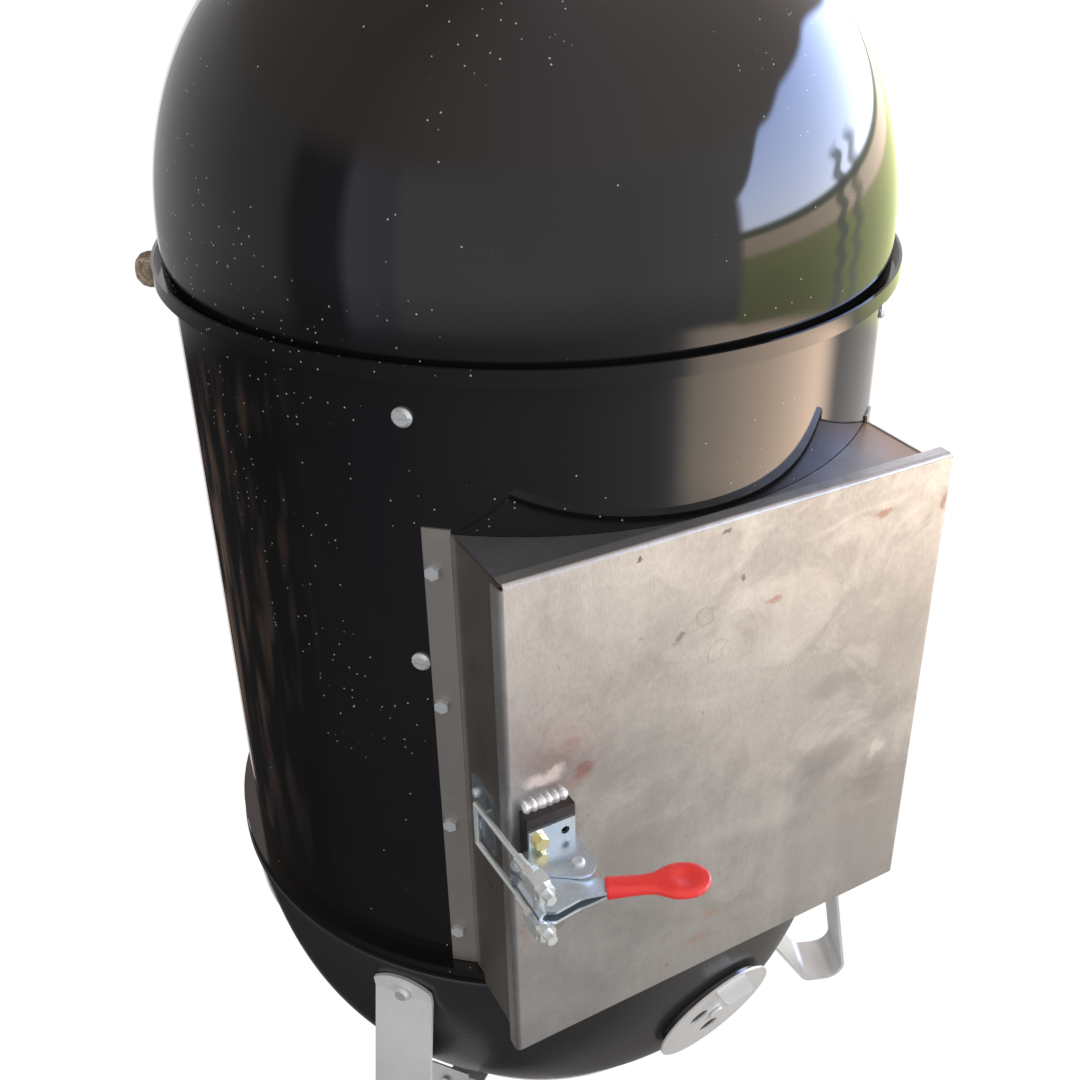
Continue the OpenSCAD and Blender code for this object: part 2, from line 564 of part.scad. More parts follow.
module frame_bottom() color([0.42, 0.39, 0.37]) at_axis() difference() {
  box(-box_left + plate_t, box_right - plate_t, box_in_n, box_front, foot_lip_top + 0.5,
    foot_lip_top + 0.5 + plate_t);
  translate([0, 0, foot_lip_z - 20]) cylinder(r = barrel_r + 0.3, h = 80);
}
module flange_bolts() color([0.74, 0.77, 0.76]) at_axis() for (a = [flange_az_l, flange_az_r])
  for (z = flange_bolt_z) az(a) translate([0, -(flange_in_r + plate_t), z]) rotate([90, 0, 0]) {
  translate([0, 0, -12]) cylinder(r = m5_r, h = 12);
  hexprism(8, 3.4);
}
module flange_nuts() color([0.74, 0.75, 0.77]) at_axis() for (a = [flange_az_l, flange_az_r])
  for (z = flange_bolt_z) az(a) translate([0, -(barrel_r - skin_t - 0.15), z]) rotate([-90, 0, 0])
  rotate([0, 0, 30]) difference() {
    hexprism(8, 4);
    translate([0, 0, -1]) cylinder(r = m5_r, h = 8);
  }

// Folded door
module door_panel() color([0.62, 0.6, 0.58]) at_axis() {
  r = bend_r;
  plan(door_bottom, door_top - bend_r - door_bottom) polygon(concat(
    [[-door_left, -(door_front - door_lip)]], arc([-door_left + r, -door_front + r], r, 180, 270, 5),
      arc([door_right - r, -door_front + r], r, 270, 360, 5),
    [[door_right, -(door_front - door_lip)], [door_right - plate_t, -(door_front - door_lip)]],
    arc([door_right - r, -door_front + r], r - plate_t, 360, 270, 5),
      arc([-door_left + r, -door_front + r], r - plate_t, 270, 180, 5),
    [[-door_left + plate_t, -(door_front - door_lip)]]));
  translate([-door_left + r, 0, 0]) rotate([90, 0, 90])
    linear_extrude(height = door_left + door_right - 2 * r) polygon(concat(
    [[-door_front, door_top - r]], arc([-door_front + r, door_top - r], r, 180, 90, 5),
      [[-(door_front - door_lip), door_top], [-(door_front - door_lip), door_top - plate_t]],
    arc([-door_front + r, door_top - r], r - plate_t, 90, 180, 5)));
}
// Two butt hinges on the right edge
module hinge_frame_leaves() color([0.5, 0.48, 0.46]) at_axis() for (z = hinge_z) difference() {
  union() {
    box(box_right, box_right + 1.5, hinge_n - 28.4, hinge_n + 1, z, z + hinge_len);
    for (s = [[0, 15], [35, 15]]) {
      box(box_right + 1.4, hinge_x, hinge_n - 1, hinge_n + 1, z + s[0], z + s[0] + s[1]);
      translate([hinge_x, -hinge_n, z + s[0]]) cylinder(r = knuckle_r, h = s[1]);
    }
  }
  translate([hinge_x, -hinge_n, z - 1]) cylinder(r = pin_r, h = hinge_len + 2);
}
module hinge_door_leaves() color([0.5, 0.48, 0.46]) at_axis() for (z = hinge_z) difference() {
  union() {
    box(hinge_x - 3.8, hinge_x + 4.6, door_back - 1.5, door_back, z + 15 + gap, z + 35 - gap);
    box(hinge_x - 1, hinge_x + 1, hinge_n + 1, door_back - 1, z + 15 + gap, z + 35 - gap);
    translate([hinge_x, -hinge_n, z + 15 + gap]) cylinder(r = knuckle_r, h = 20 - 2 * gap);
  }
  translate([hinge_x, -hinge_n, z - 1]) cylinder(r = pin_r + run_c, h = hinge_len + 2);
}
module hinge_pins() color([0.6, 0.6, 0.62]) at_axis() for (z = hinge_z)
  translate([hinge_x, -hinge_n, z]) {
  translate([0, 0, -1.5]) cylinder(r = pin_r, h = hinge_len + 1.5);
  translate([0, 0, hinge_len]) cylinder(r = 3.4, h = 2);
}

// Latch: pad, base, lever, grip and U-bolt. Plan views use distance in front of the door
pad_n = 10;                                    // thickness of the pad on the door
pad_top_z = latch_z + 28.25;
pad_x = piv_x + 8.5;                           // left edge of the latch's pad
pad_w = 31;
bolt_x = pad_x + 6.5;
spare_x = pad_x + 23.5;
stop_rivet = [piv_x + 29, piv_n + 15.2];
base_bolt_z = latch_z + 12.65;
module door_z(x, n, z) translate([x, -(door_front + n), z]) children();
module latch_pad() color([0.25, 0.22, 0.21]) at_axis() difference() {
  box(pad_x, pad_x + pad_w, door_front, door_front + pad_n, latch_z - 8.75, pad_top_z);
  for (x = [bolt_x, spare_x]) door_z(x, pad_n + 1, base_bolt_z) rotate([-90, 0, 0])
    cylinder(r = m5_r, h = 9);
}
module weld_bead() color([0.75, 0.75, 0.77]) at_axis() translate([pad_x + 1.5, 0, pad_top_z])
  rotate([90, 0, 90]) linear_extrude(height = pad_w - 2)
  polygon([for (p = [[0, 0], [5.2, 0], [5, 2], [3.4, 4.2], [1, 5.4], [0, 5.6]]) [-door_front - p[0],
    p[1]]]);
base_w = 30;
function base_pts() =
  concat([[pad_x, pad_n], [pad_x + base_w, pad_n]],
    arc([pad_x + base_w - 9.5, piv_n + 16.5], 9.5, 0, 127, 8), arc([piv_x, piv_n], 6.2, 127, 262, 10));
module latch_plan(pts) polygon([for (p = pts) [p[0], -(door_front + p[1])]]);
module latch_base() color([0.72, 0.8, 0.86]) at_axis() difference() {
  union() {
    box(pad_x, pad_x + base_w, door_front + pad_n, door_front + pad_n + 2, base_lo, latch_z + 20.85);
    plan(base_hi - 2, 2) latch_plan(base_pts());
    plan(base_lo, 2) latch_plan(base_pts());
  }
  for (x = [bolt_x, spare_x]) door_z(x, pad_n + 4, base_bolt_z) rotate([-90, 0, 0])
    cylinder(r = m5_r + 2 * hole_c, h = 6);
  door_z(piv_x, piv_n, base_lo - 1) cylinder(r = 2.2, h = 30);
  door_z(stop_rivet[0], stop_rivet[1], base_lo - 1) cylinder(r = 2.2, h = 30);
}
module latch_bolt() color([0.82, 0.7, 0.3]) at_axis() door_z(bolt_x, pad_n + 2, base_bolt_z)
  rotate([90, 0, 0]) {
  translate([0, 0, -10]) cylinder(r = m5_r, h = 10);
  cylinder(r = 5, h = 0.8);
  translate([0, 0, 0.8]) hexprism(8, 3.5);
}
module latch_rivets() color([0.74, 0.76, 0.78]) at_axis() for (p = [[piv_x, piv_n], stop_rivet])
  door_z(p[0], p[1], 0) {
  translate([0, 0, base_lo - 1.5]) cylinder(r = 2.2, h = base_hi - base_lo + 1.5);
  translate([0, 0, base_hi]) {
    cylinder(r = 3.8, h = 0.9);
    translate([0, 0, 0.9]) cylinder(r1 = 3.8, r2 = 2.4, h = 0.9);
  }
  translate([0, 0, base_lo - 1.5]) cylinder(r = 3.6, h = 1.5);
}
lev_hi = base_hi - 2 - gap;
lev_lo = base_lo + 2 + gap;
grip_a = 22.5;
fold_r = (lev_hi - lev_lo) / 2;
fold_x = tru_x - 3.8 + fold_r;
function from_pivot(pts) = [for (p = pts) [piv_x + p[0], piv_n + p[1]]];
grip_start = [piv_x + 36.4, piv_n + 34.2];
module latch_lever() color([0.72, 0.8, 0.86]) at_axis() difference() {
  union() {
    for (z = [lev_hi - lever_t, lev_lo]) plan(z, lever_t) latch_plan(concat(
      [[fold_x, tru_n + 7.5], [fold_x, tru_n - 20]], arc([piv_x, piv_n], 6, 135, 330, 10),
      from_pivot([[12, 11.5], [37.1, 28.8], [67, 41.2], [63, 51], [34.7, 39.4], [18, 37.4],
        [2, 39.2]])));
    translate([fold_x, -(door_front + tru_n - 20), (lev_hi + lev_lo) / 2]) rotate([90, 0, 0])
      difference() {
      cylinder(r = fold_r, h = 27.5);
      translate([0, 0, -1]) cylinder(r = fold_r - lever_t, h = 30);
      translate([0, -20, -1]) cube([20, 40, 30]);
    }
  }
  door_z(piv_x, piv_n, base_lo) cylinder(r = 2.2 + run_c, h = 30);
  door_z(tru_x, tru_n, base_lo) cylinder(r = 3.2 + run_c, h = 30);
}
module latch_grip() color([0.85, 0.16, 0.15]) at_axis() difference() {
  door_z(grip_start[0], grip_start[1], 0) rotate([0, 0, -grip_a]) {
    zc = (lev_hi + lev_lo) / 2;
    translate([0, -8.2, zc - 6]) cube([40, 16.4, 12]);
    translate([41, 0, zc - 5]) cylinder(r = 14.2, h = 10);
    translate([48, 0, zc - 4.5]) cylinder(r = 12, h = 9);
  }
  for (z = [lev_hi - lever_t, lev_lo]) plan(z - 0.02, lever_t + 0.04)
    latch_plan(from_pivot([[1, 4.6], [37.1, 28.8], [67, 41.2], [63, 51], [34.7, 39.4], [1, 32]]));
}
// Cross pin, U-bolt and nuts, in the U-bolt's own direction
module u_local() door_z(tru_x, tru_n, 0) rotate([0, 0, hook_a]) children();
module latch_cross_pin() color([0.7, 0.71, 0.73]) at_axis() u_local() difference() {
  union() {
    translate([0, 0, rod_lo + 4]) cylinder(r = 3.2, h = rod_hi - rod_lo - 8);
    for (z = [rod_lo, rod_hi]) translate([-5, -5, z - 5]) cube([10, 10, 10]);
  }
  for (z = [rod_lo, rod_hi]) translate([0, 10, z]) rotate([90, 0, 0])
    cylinder(r = thread_r + 0.05, h = 20);
}
module latch_u_bolt() color([0.78, 0.79, 0.8]) at_axis() u_local() {
  for (z = [rod_lo, rod_hi]) {
    translate([0, 74, z]) rotate([90, 0, 0]) cylinder(r = 1.75, h = 52);
    translate([0, 23, z]) rotate([90, 0, 0]) cylinder(r = thread_r, h = 38);
    translate([0, 74, z]) sphere(r = 1.75, $fn = 32);
  }
  translate([0, 74, rod_lo]) cylinder(r = 1.75, h = rod_hi - rod_lo);
}
module latch_rod_nuts() color([0.78, 0.79, 0.8]) at_axis() u_local() for (z = [rod_lo, rod_hi])
  for (y = [-5, 10])
  translate([0, y, z]) rotate([90, 0, 0]) difference() {
    hexprism(9.6, 5);
    translate([0, 0, -1]) cylinder(r = thread_r, h = 8);
  }
// Keeper on the box's left side, behind which the U-bolt's bar lies
keeper_screw = [[-44, latch_z + 11.25], [-44, latch_z - 14.75]];
keeper_n = 74 - tru_n - 2.2;                   // the lip stands just in front of the U-bolt's bar
module keeper() color([0.45, 0.47, 0.5]) at_axis() difference() {
  union() {
    box(-box_left - 1.8, -box_left, door_front - 50, door_front - keeper_n + 2, latch_z - 22.75,
      latch_z + 21.25);
    box(-box_left - 7.6, -box_left - 1.7, door_front - keeper_n, door_front - keeper_n + 2,
      latch_z - 4.75, latch_z + 13.25);
  }
  for (p = keeper_screw) translate([-box_left - 5, -(door_front + p[0]), p[1]]) rotate([0, 90, 0])
    cylinder(r = 1.6, h = 10);
}
module keeper_screws() color([0.7, 0.71, 0.73]) at_axis() for (p = keeper_screw)
  translate([-box_left - 1.8, -(door_front + p[0]), p[1]]) rotate([0, -90, 0]) {
  pan_head(3.2, 2, 0);
  translate([0, 0, -6]) cylinder(r = 1.6, h = 7);
}

// Domed lid with a damper, a handle and a gauge
module lid() color([0.06, 0.06, 0.07]) at_axis() difference() {
  union() {
    difference() {
      rotate_extrude() polygon(concat([[0, lid_seat_z], [lid_r, lid_seat_z]], lid_out));
      rotate_extrude() polygon(concat([[0, lid_seat_z - 1], [lid_r - skin_t, lid_seat_z - 1]], lid_in));
      on_lid_damper() translate([0, 0, -9]) cylinder(r = lid_seat_r, h = 14);
    }
    on_lid_damper() difference() {
      translate([0, 0, -7]) cylinder(r = lid_seat_r + skin_t, h = 7 + seat_proud);
      translate([0, 0, -8]) cylinder(r = lid_seat_r, h = 7);
    }
  }
  on_lid_damper() translate([0, 0, -4]) {
    vents(vent_r, 8);
    cylinder(r = pin_hub_r, h = 8);
  }
  on_lid_therm() translate([0, 0, -10]) cylinder(r = 5.1, h = 20);
  for (x = [-post_x, post_x]) translate([x, 0, lid_eq_z + lid_h - 12]) cylinder(r = m6_r + hole_c, h = 20);
}
module lid_damper() color([0.78, 0.79, 0.8]) at_axis() on_lid_damper()
  translate([0, 0, seat_proud + damper_gap]) damper_disc(lid_damper_r, 26, 90);
module lid_damper_rivet() color([0.72, 0.73, 0.75]) at_axis() on_lid_damper()
  rivet(-1, seat_proud + 1 + 2 * damper_gap + 1.5, pin_hub_r, 6);
// Lid handle
grip_z = lid_top_z + 31;
module lid_handle_posts() color([0.5, 0.5, 0.52]) at_axis() for (x = [-post_x, post_x]) difference() {
  translate([x, 0, lid_top_z - 16]) union() {
    cylinder(r = m6_r, h = grip_z - lid_top_z + 24);
    translate([0, 0, 5]) cylinder(r = 7, h = grip_z - lid_top_z + 1);
  }
  intersection() {
    translate([x, 0, lid_top_z - 21]) tube(20, 3, 40);
    rotate_extrude()
      polygon(concat([[0, lid_eq_z], [lid_r, lid_eq_z]],
        dome_pts(lid_r + 0.05, lid_h + 0.05, lid_n, lid_eq_z, 26)));
  }
}
module lid_handle_grip() color([0.05, 0.05, 0.05]) at_axis() difference() {
  intersection() {
    union() {
      translate([-62, 0, grip_z]) rotate([0, 90, 0]) cylinder(r = 14, h = 124);
      for (x = [-62, 62]) translate([x, 0, grip_z]) sphere(r = 14);
    }
    translate([-90, -13, grip_z - 10]) cube([180, 26, 24]);
  }
  for (x = [-post_x, post_x]) translate([x, 0, grip_z - 12]) cylinder(r = m6_r, h = 20);
}
module lid_handle_nuts() color([0.7, 0.71, 0.73]) at_axis() for (x = [-post_x, post_x])
  translate([x, 0, lid_top_z - 16]) difference() {
  translate([0, 0, 4]) hexprism(10, 5);
  cylinder(r = m6_r, h = 12);
}
module thermometer() color([0.75, 0.76, 0.78]) at_axis() on_lid_therm() {
  translate([0, 0, 0.3]) cylinder(r = 9, h = 4);
  translate([0, 0, 4.3]) cylinder(r = 27, h = 11);
  translate([0, 0, 15.3]) tube(27, 24.5, 2.5);
  translate([0, 0, -16]) cylinder(r = 5, h = 16.5);
  translate([0, 0, -70]) cylinder(r = 2.5, h = 55);
}
module thermometer_nut() color([0.7, 0.71, 0.73]) at_axis() on_lid_therm() translate([0, 0, -8.5])
  difference() {
  hexprism(17, 5);
  translate([0, 0, -1]) cylinder(r = 5, h = 8);
}

charcoal_bowl();
bowl_damper_1();
bowl_damper_2();
bowl_damper_3();
damper_rivets();
leg_1();
leg_2();
leg_3();
leg_bolts();
leg_nuts();
heat_shield();
shield_bolts();
charcoal_grate();
charcoal_ring();
water_pan();
lower_grate();
upper_grate();
grate_strap_1();
grate_strap_2();
grate_strap_3();
grate_strap_4();
strap_bolts();
strap_nuts();
barrel();
probe_plug();
frame_left();
frame_right();
frame_top();
frame_bottom();
flange_bolts();
flange_nuts();
door_panel();
hinge_frame_leaves();
hinge_door_leaves();
hinge_pins();
latch_pad();
weld_bead();
latch_base();
latch_bolt();
latch_rivets();
latch_lever();
latch_grip();
latch_cross_pin();
latch_u_bolt();
latch_rod_nuts();
keeper();
keeper_screws();
lid();
lid_damper();
lid_damper_rivet();
lid_handle_posts();
lid_handle_grip();
lid_handle_nuts();
thermometer();
thermometer_nut();
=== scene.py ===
"""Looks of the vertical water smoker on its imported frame: camera, light, materials, fine forms."""
import json
import math

import bmesh
import bpy
from mathutils import Matrix, Vector, noise


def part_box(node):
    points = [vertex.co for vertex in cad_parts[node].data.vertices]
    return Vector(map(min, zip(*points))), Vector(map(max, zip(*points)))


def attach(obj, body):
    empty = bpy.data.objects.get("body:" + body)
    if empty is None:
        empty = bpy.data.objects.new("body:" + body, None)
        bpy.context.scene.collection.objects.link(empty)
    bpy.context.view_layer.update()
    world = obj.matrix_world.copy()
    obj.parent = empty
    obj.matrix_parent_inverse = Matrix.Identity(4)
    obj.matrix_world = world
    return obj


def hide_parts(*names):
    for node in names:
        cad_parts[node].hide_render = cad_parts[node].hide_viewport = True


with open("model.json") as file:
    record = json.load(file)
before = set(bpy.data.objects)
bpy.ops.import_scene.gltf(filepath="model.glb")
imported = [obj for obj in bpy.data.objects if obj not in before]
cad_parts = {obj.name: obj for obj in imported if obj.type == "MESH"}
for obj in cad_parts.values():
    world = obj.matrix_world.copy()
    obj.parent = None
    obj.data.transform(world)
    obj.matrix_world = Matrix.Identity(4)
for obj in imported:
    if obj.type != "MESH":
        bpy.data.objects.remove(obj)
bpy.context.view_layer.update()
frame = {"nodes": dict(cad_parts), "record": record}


def middle(node):
    low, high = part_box(node)
    return (low + high) / 2


MM = 0.001
AXIS = Vector((middle("barrel").x, middle("barrel").y, 0))
DOOR_LOW, DOOR_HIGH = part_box("door_panel")
DOOR_FACE_Y = DOOR_LOW.y
SLOTS = {part["node"]: part["material_slot"] for part in frame["record"]["subparts"]}
JOINTS = {joint["name"]: joint for joint in frame["record"]["behaviour"]["joints"]}


# ---------------------------------------------------------------- camera
CAMERA_OFFSET = Vector((-0.3747, -0.7487, 1.0010))  # from the axis at floor level
CAMERA_HEADING = math.radians(31.46)  # from +Y towards +X
CAMERA_PITCH = math.radians(28.41)  # downwards
CAMERA_ROLL = math.radians(-1.0)
SENSOR_MM = 36
LENS_MM = 42.1
LENS_SHIFT = (-0.0877, -0.0469)


def make_camera():
    data = bpy.data.cameras.new("camera")
    data.sensor_width = SENSOR_MM
    data.lens = LENS_MM
    data.shift_x, data.shift_y = LENS_SHIFT
    cam = bpy.data.objects.new("camera", data)
    bpy.context.collection.objects.link(cam)
    level = math.cos(CAMERA_PITCH)
    ahead = Vector((math.sin(CAMERA_HEADING), math.cos(CAMERA_HEADING), 0))
    right = Vector((math.cos(CAMERA_HEADING), -math.sin(CAMERA_HEADING), 0))
    forward = ahead * level - Vector((0, 0, math.sin(CAMERA_PITCH)))
    down = forward.cross(right)
    x_axis = right * math.cos(CAMERA_ROLL) + down * math.sin(CAMERA_ROLL)
    y_axis = right * math.sin(CAMERA_ROLL) - down * math.cos(CAMERA_ROLL)
    rotation = Matrix((x_axis, y_axis, -forward)).transposed().to_4x4()
    cam.matrix_world = Matrix.Translation(AXIS + CAMERA_OFFSET) @ rotation
    bpy.context.scene.camera = cam


# ---------------------------------------------------------------- node helpers
class Nodes:
    """Short calls for building a node tree."""

    def __init__(self, tree):
        self.tree = tree

    def add(self, kind, inputs=(), **settings):
        node = self.tree.nodes.new(kind)
        for key, value in settings.items():
            setattr(node, key, value)
        for key, value in dict(inputs).items():
            self.feed(node.inputs[key], value)
        return node

    def feed(self, socket, value):
        if isinstance(value, bpy.types.NodeSocket):
            self.tree.links.new(value, socket)
        else:
            socket.default_value = value

    def math(self, operation, a, b=0.0, clamp=False):
        node = self.tree.nodes.new("ShaderNodeMath")
        node.operation = operation
        node.use_clamp = clamp
        self.feed(node.inputs[0], a)
        self.feed(node.inputs[1], b)
        return node.outputs[0]

    def ramp(self, factor, stops, smooth="LINEAR"):
        node = self.tree.nodes.new("ShaderNodeValToRGB")
        node.color_ramp.interpolation = smooth
        elements = node.color_ramp.elements
        while len(elements) < len(stops):
            elements.new(0.5)
        for element, (place, colour) in zip(elements, stops):
            element.position = place
            element.color = (*colour, 1)
        self.feed(node.inputs[0], factor)
        return node.outputs[0]

    def grey_ramp(self, factor, stops, smooth="LINEAR"):
        return self.ramp(factor, [(p, (v, v, v)) for p, v in stops], smooth)

    def mix(self, factor, a, b, blend="MIX"):
        node = self.tree.nodes.new("ShaderNodeMix")
        node.data_type = "RGBA"
        node.blend_type = blend
        self.feed(node.inputs[0], factor)
        self.feed(node.inputs[6], a if isinstance(a, bpy.types.NodeSocket) else (*a, 1))
        self.feed(node.inputs[7], b if isinstance(b, bpy.types.NodeSocket) else (*b, 1))
        return node.outputs[2]

    def noise(self, coords, scale, detail=3.0, roughness=0.5, distortion=0.0):
        node = self.tree.nodes.new("ShaderNodeTexNoise")
        self.feed(node.inputs["Vector"], coords)
        node.inputs["Scale"].default_value = scale
        node.inputs["Detail"].default_value = detail
        node.inputs["Roughness"].default_value = roughness
        node.inputs["Distortion"].default_value = distortion
        return node.outputs["Fac"]

    def mapped(self, coords, setting, value):
        node = self.tree.nodes.new("ShaderNodeMapping")
        self.feed(node.inputs["Vector"], coords)
        node.inputs[setting].default_value = value
        return node.outputs[0]

    def stretched(self, coords, scale):
        return self.mapped(coords, "Scale", scale)

    def moved(self, coords, place):
        """The same pattern from another place, so that two patterns don't agree."""
        return self.mapped(coords, "Location", place)

    def object_coords(self):
        return self.tree.nodes.new("ShaderNodeTexCoord").outputs["Object"]

    def bump(self, height, strength, distance):
        node = self.tree.nodes.new("ShaderNodeBump")
        self.feed(node.inputs["Height"], height)
        node.inputs["Strength"].default_value = strength
        node.inputs["Distance"].default_value = distance
        return node.outputs[0]


def new_material(name, **sockets):
    material = bpy.data.materials.new(name)
    material.use_nodes = True
    shader = material.node_tree.nodes["Principled BSDF"]
    for key, value in sockets.items():
        shader.inputs[key.replace("_", " ")].default_value = value
    return material, Nodes(material.node_tree), shader


# ---------------------------------------------------------------- materials
def enamel(name, roughness, specks, tone=0.005):
    material, n, shader = new_material(name)
    shader.inputs["IOR"].default_value = 1.5
    at = n.object_coords()
    cloud = n.noise(at, 7, 3, 0.6)
    colour = n.ramp(cloud, [(0.3, (tone * 0.7, tone * 0.7, tone * 0.8)), (0.7, (tone, tone, tone))])
    if specks:
        cells = n.add("ShaderNodeTexVoronoi", {"Vector": at, "Scale": 330.0, "Randomness": 1.0})
        dots = n.grey_ramp(cells.outputs["Distance"], [(0.0, 1), (0.13, 0.6), (0.2, 0)])
        chosen = n.add("ShaderNodeSeparateColor", {"Color": cells.outputs["Color"]}).outputs[0]
        patch = n.grey_ramp(n.noise(at, 5.5, 4, 0.65), [(0.5, 0.0), (0.74, specks)])
        keep = n.math("GREATER_THAN", n.math("ADD", chosen, patch), 0.996)
        colour = n.mix(n.math("MULTIPLY", dots, keep), colour, (0.42, 0.41, 0.4))
    n.feed(shader.inputs["Base Color"], colour)
    smear = n.noise(at, 16, 4, 0.6)
    rough = n.grey_ramp(smear, [(0.3, roughness), (0.75, roughness * 1.7)])
    n.feed(shader.inputs["Roughness"], rough)
    wave = n.noise(at, 9, 1, 0.4)
    n.feed(shader.inputs["Normal"], n.bump(wave, 0.12, 0.002))
    return material


def bare_steel(name, light, dark, rust, gloss=0.34, overlay=None):
    """Bare sheet with mill streaks, oil film and rust; overlay paints more on the finished colour,
    on the door also painted shade.
    """
    material, n, shader = new_material(name, Metallic=0.86)
    at = n.object_coords()
    broad = n.noise(n.stretched(at, (1.0, 1.0, 0.6)), 7, 5, 0.62, 0.4)
    streak = n.noise(n.stretched(at, (90, 90, 3)), 1, 3, 0.6)
    grain = n.noise(n.stretched(at, (700, 700, 240)), 1, 2, 0.6)
    lightest = tuple(min(1, c * 1.22) for c in light)
    colour = n.ramp(broad, [(0.28, dark), (0.5, light), (0.75, lightest)])
    colour = n.mix(n.grey_ramp(streak, [(0.3, 0.0), (0.75, 0.3)]), colour, dark)
    pits = tuple(c * 0.5 for c in light)
    colour = n.mix(n.grey_ramp(grain, [(0.35, 0.0), (0.7, 0.22)]), colour, pits)
    # grey oil film, red-brown smudges and small rust specks
    film = n.noise(n.moved(at, (3.1, 0, 1.7)), 16, 6, 0.7, 0.8)
    colour = n.mix(n.grey_ramp(film, [(0.55, 0.0), (0.72, 0.35)]), colour, (0.2, 0.185, 0.18))
    smudge = n.noise(n.moved(at, (0.7, 2.0, 0.4)), 19, 5, 0.7)
    colour = n.mix(n.grey_ramp(smudge, [(0.62, 0.0), (0.74, rust)]), colour, (0.36, 0.13, 0.09))
    speck = n.noise(n.moved(at, (0.2, 1.0, 2.2)), 62, 3, 0.55)
    speck = n.grey_ramp(speck, [(0.69, 0.0), (0.73, 0.9 * rust)])
    colour = n.mix(speck, colour, (0.09, 0.035, 0.03))
    # the door's overlay also paints shade and a shadow
    if overlay:
        colour = overlay(n, at, colour)
    n.feed(shader.inputs["Base Color"], colour)
    rough = n.grey_ramp(broad, [(0.25, gloss + 0.14), (0.75, gloss)])
    rough = n.math("ADD", rough, n.grey_ramp(grain, [(0.3, 0.0), (0.8, 0.14)]))
    n.feed(shader.inputs["Roughness"], n.math("ADD", rough, n.math("MULTIPLY", speck, 0.3), True))
    n.feed(shader.inputs["Normal"], n.bump(grain, 0.1, 0.0004))
    return material


def plated(name, colour, second, roughness, metallic=0.95):
    material, n, shader = new_material(name, Metallic=metallic)
    at = n.object_coords()
    cloud = n.noise(at, 55, 3, 0.6, 0.5)
    tint = n.ramp(cloud, [(0.3, colour), (0.7, second)])
    fine = n.noise(at, 900, 2, 0.6)
    darker = tuple(c * 0.55 for c in colour)
    tint = n.mix(n.grey_ramp(fine, [(0.4, 0), (0.75, 0.25)]), tint, darker)
    n.feed(shader.inputs["Base Color"], tint)
    rough = n.grey_ramp(cloud, [(0.3, roughness), (0.7, roughness + 0.12)])
    n.feed(shader.inputs["Roughness"], rough)
    n.feed(shader.inputs["Normal"], n.bump(fine, 0.05, 0.0003))
    return material


def satin_aluminium(name):
    material, n, shader = new_material(name, Metallic=0.45)
    at = n.object_coords()
    mill = n.noise(n.stretched(at, (260, 260, 9)), 1, 3, 0.6)
    blot = n.noise(at, 14, 4, 0.6)
    colour = n.ramp(blot, [(0.3, (0.6, 0.6, 0.59)), (0.7, (0.74, 0.735, 0.73))])
    colour = n.mix(n.grey_ramp(mill, [(0.35, 0), (0.75, 0.25)]), colour, (0.5, 0.5, 0.5))
    n.feed(shader.inputs["Base Color"], colour)
    n.feed(shader.inputs["Roughness"], n.grey_ramp(mill, [(0.3, 0.36), (0.75, 0.5)]))
    n.feed(shader.inputs["Normal"], n.bump(mill, 0.06, 0.0004))
    return material


def dipped_vinyl(name):
    material, n, shader = new_material(name, Roughness=0.3)
    at = n.object_coords()
    cloud = n.noise(at, 60, 3, 0.5)
    red = n.ramp(cloud, [(0.3, (0.56, 0.017, 0.015)), (0.7, (0.64, 0.027, 0.022))])
    n.feed(shader.inputs["Base Color"], red)
    n.feed(shader.inputs["Roughness"], n.grey_ramp(n.noise(at, 240, 2), [(0.3, 0.26), (0.7, 0.36)]))
    n.feed(shader.inputs["Normal"], n.bump(n.noise(at, 140, 2), 0.06, 0.0006))
    shader.inputs["Coat Weight"].default_value = 0.25
    shader.inputs["Coat Roughness"].default_value = 0.15
    return material


def cork(name):
    material, n, shader = new_material(name, Roughness=0.85)
    at = n.object_coords()
    blot = n.noise(at, 130, 5, 0.7, 0.6)
    colour = n.ramp(blot, [(0.3, (0.05, 0.035, 0.025)), (0.5, (0.2, 0.15, 0.1)),
                           (0.68, (0.42, 0.35, 0.26))])
    n.feed(shader.inputs["Base Color"], colour)
    n.feed(shader.inputs["Normal"], n.bump(blot, 0.6, 0.0015))
    return material


def black_nylon(name):
    material, n, shader = new_material(name, Roughness=0.45)
    at = n.object_coords()
    grain = n.noise(at, 700, 3, 0.6)
    black = n.grey_ramp(n.noise(at, 20, 3), [(0.3, 0.013), (0.7, 0.024)])
    n.feed(shader.inputs["Base Color"], black)
    n.feed(shader.inputs["Roughness"], n.grey_ramp(grain, [(0.3, 0.38), (0.7, 0.52)]))
    n.feed(shader.inputs["Normal"], n.bump(grain, 0.2, 0.0006))
    return material
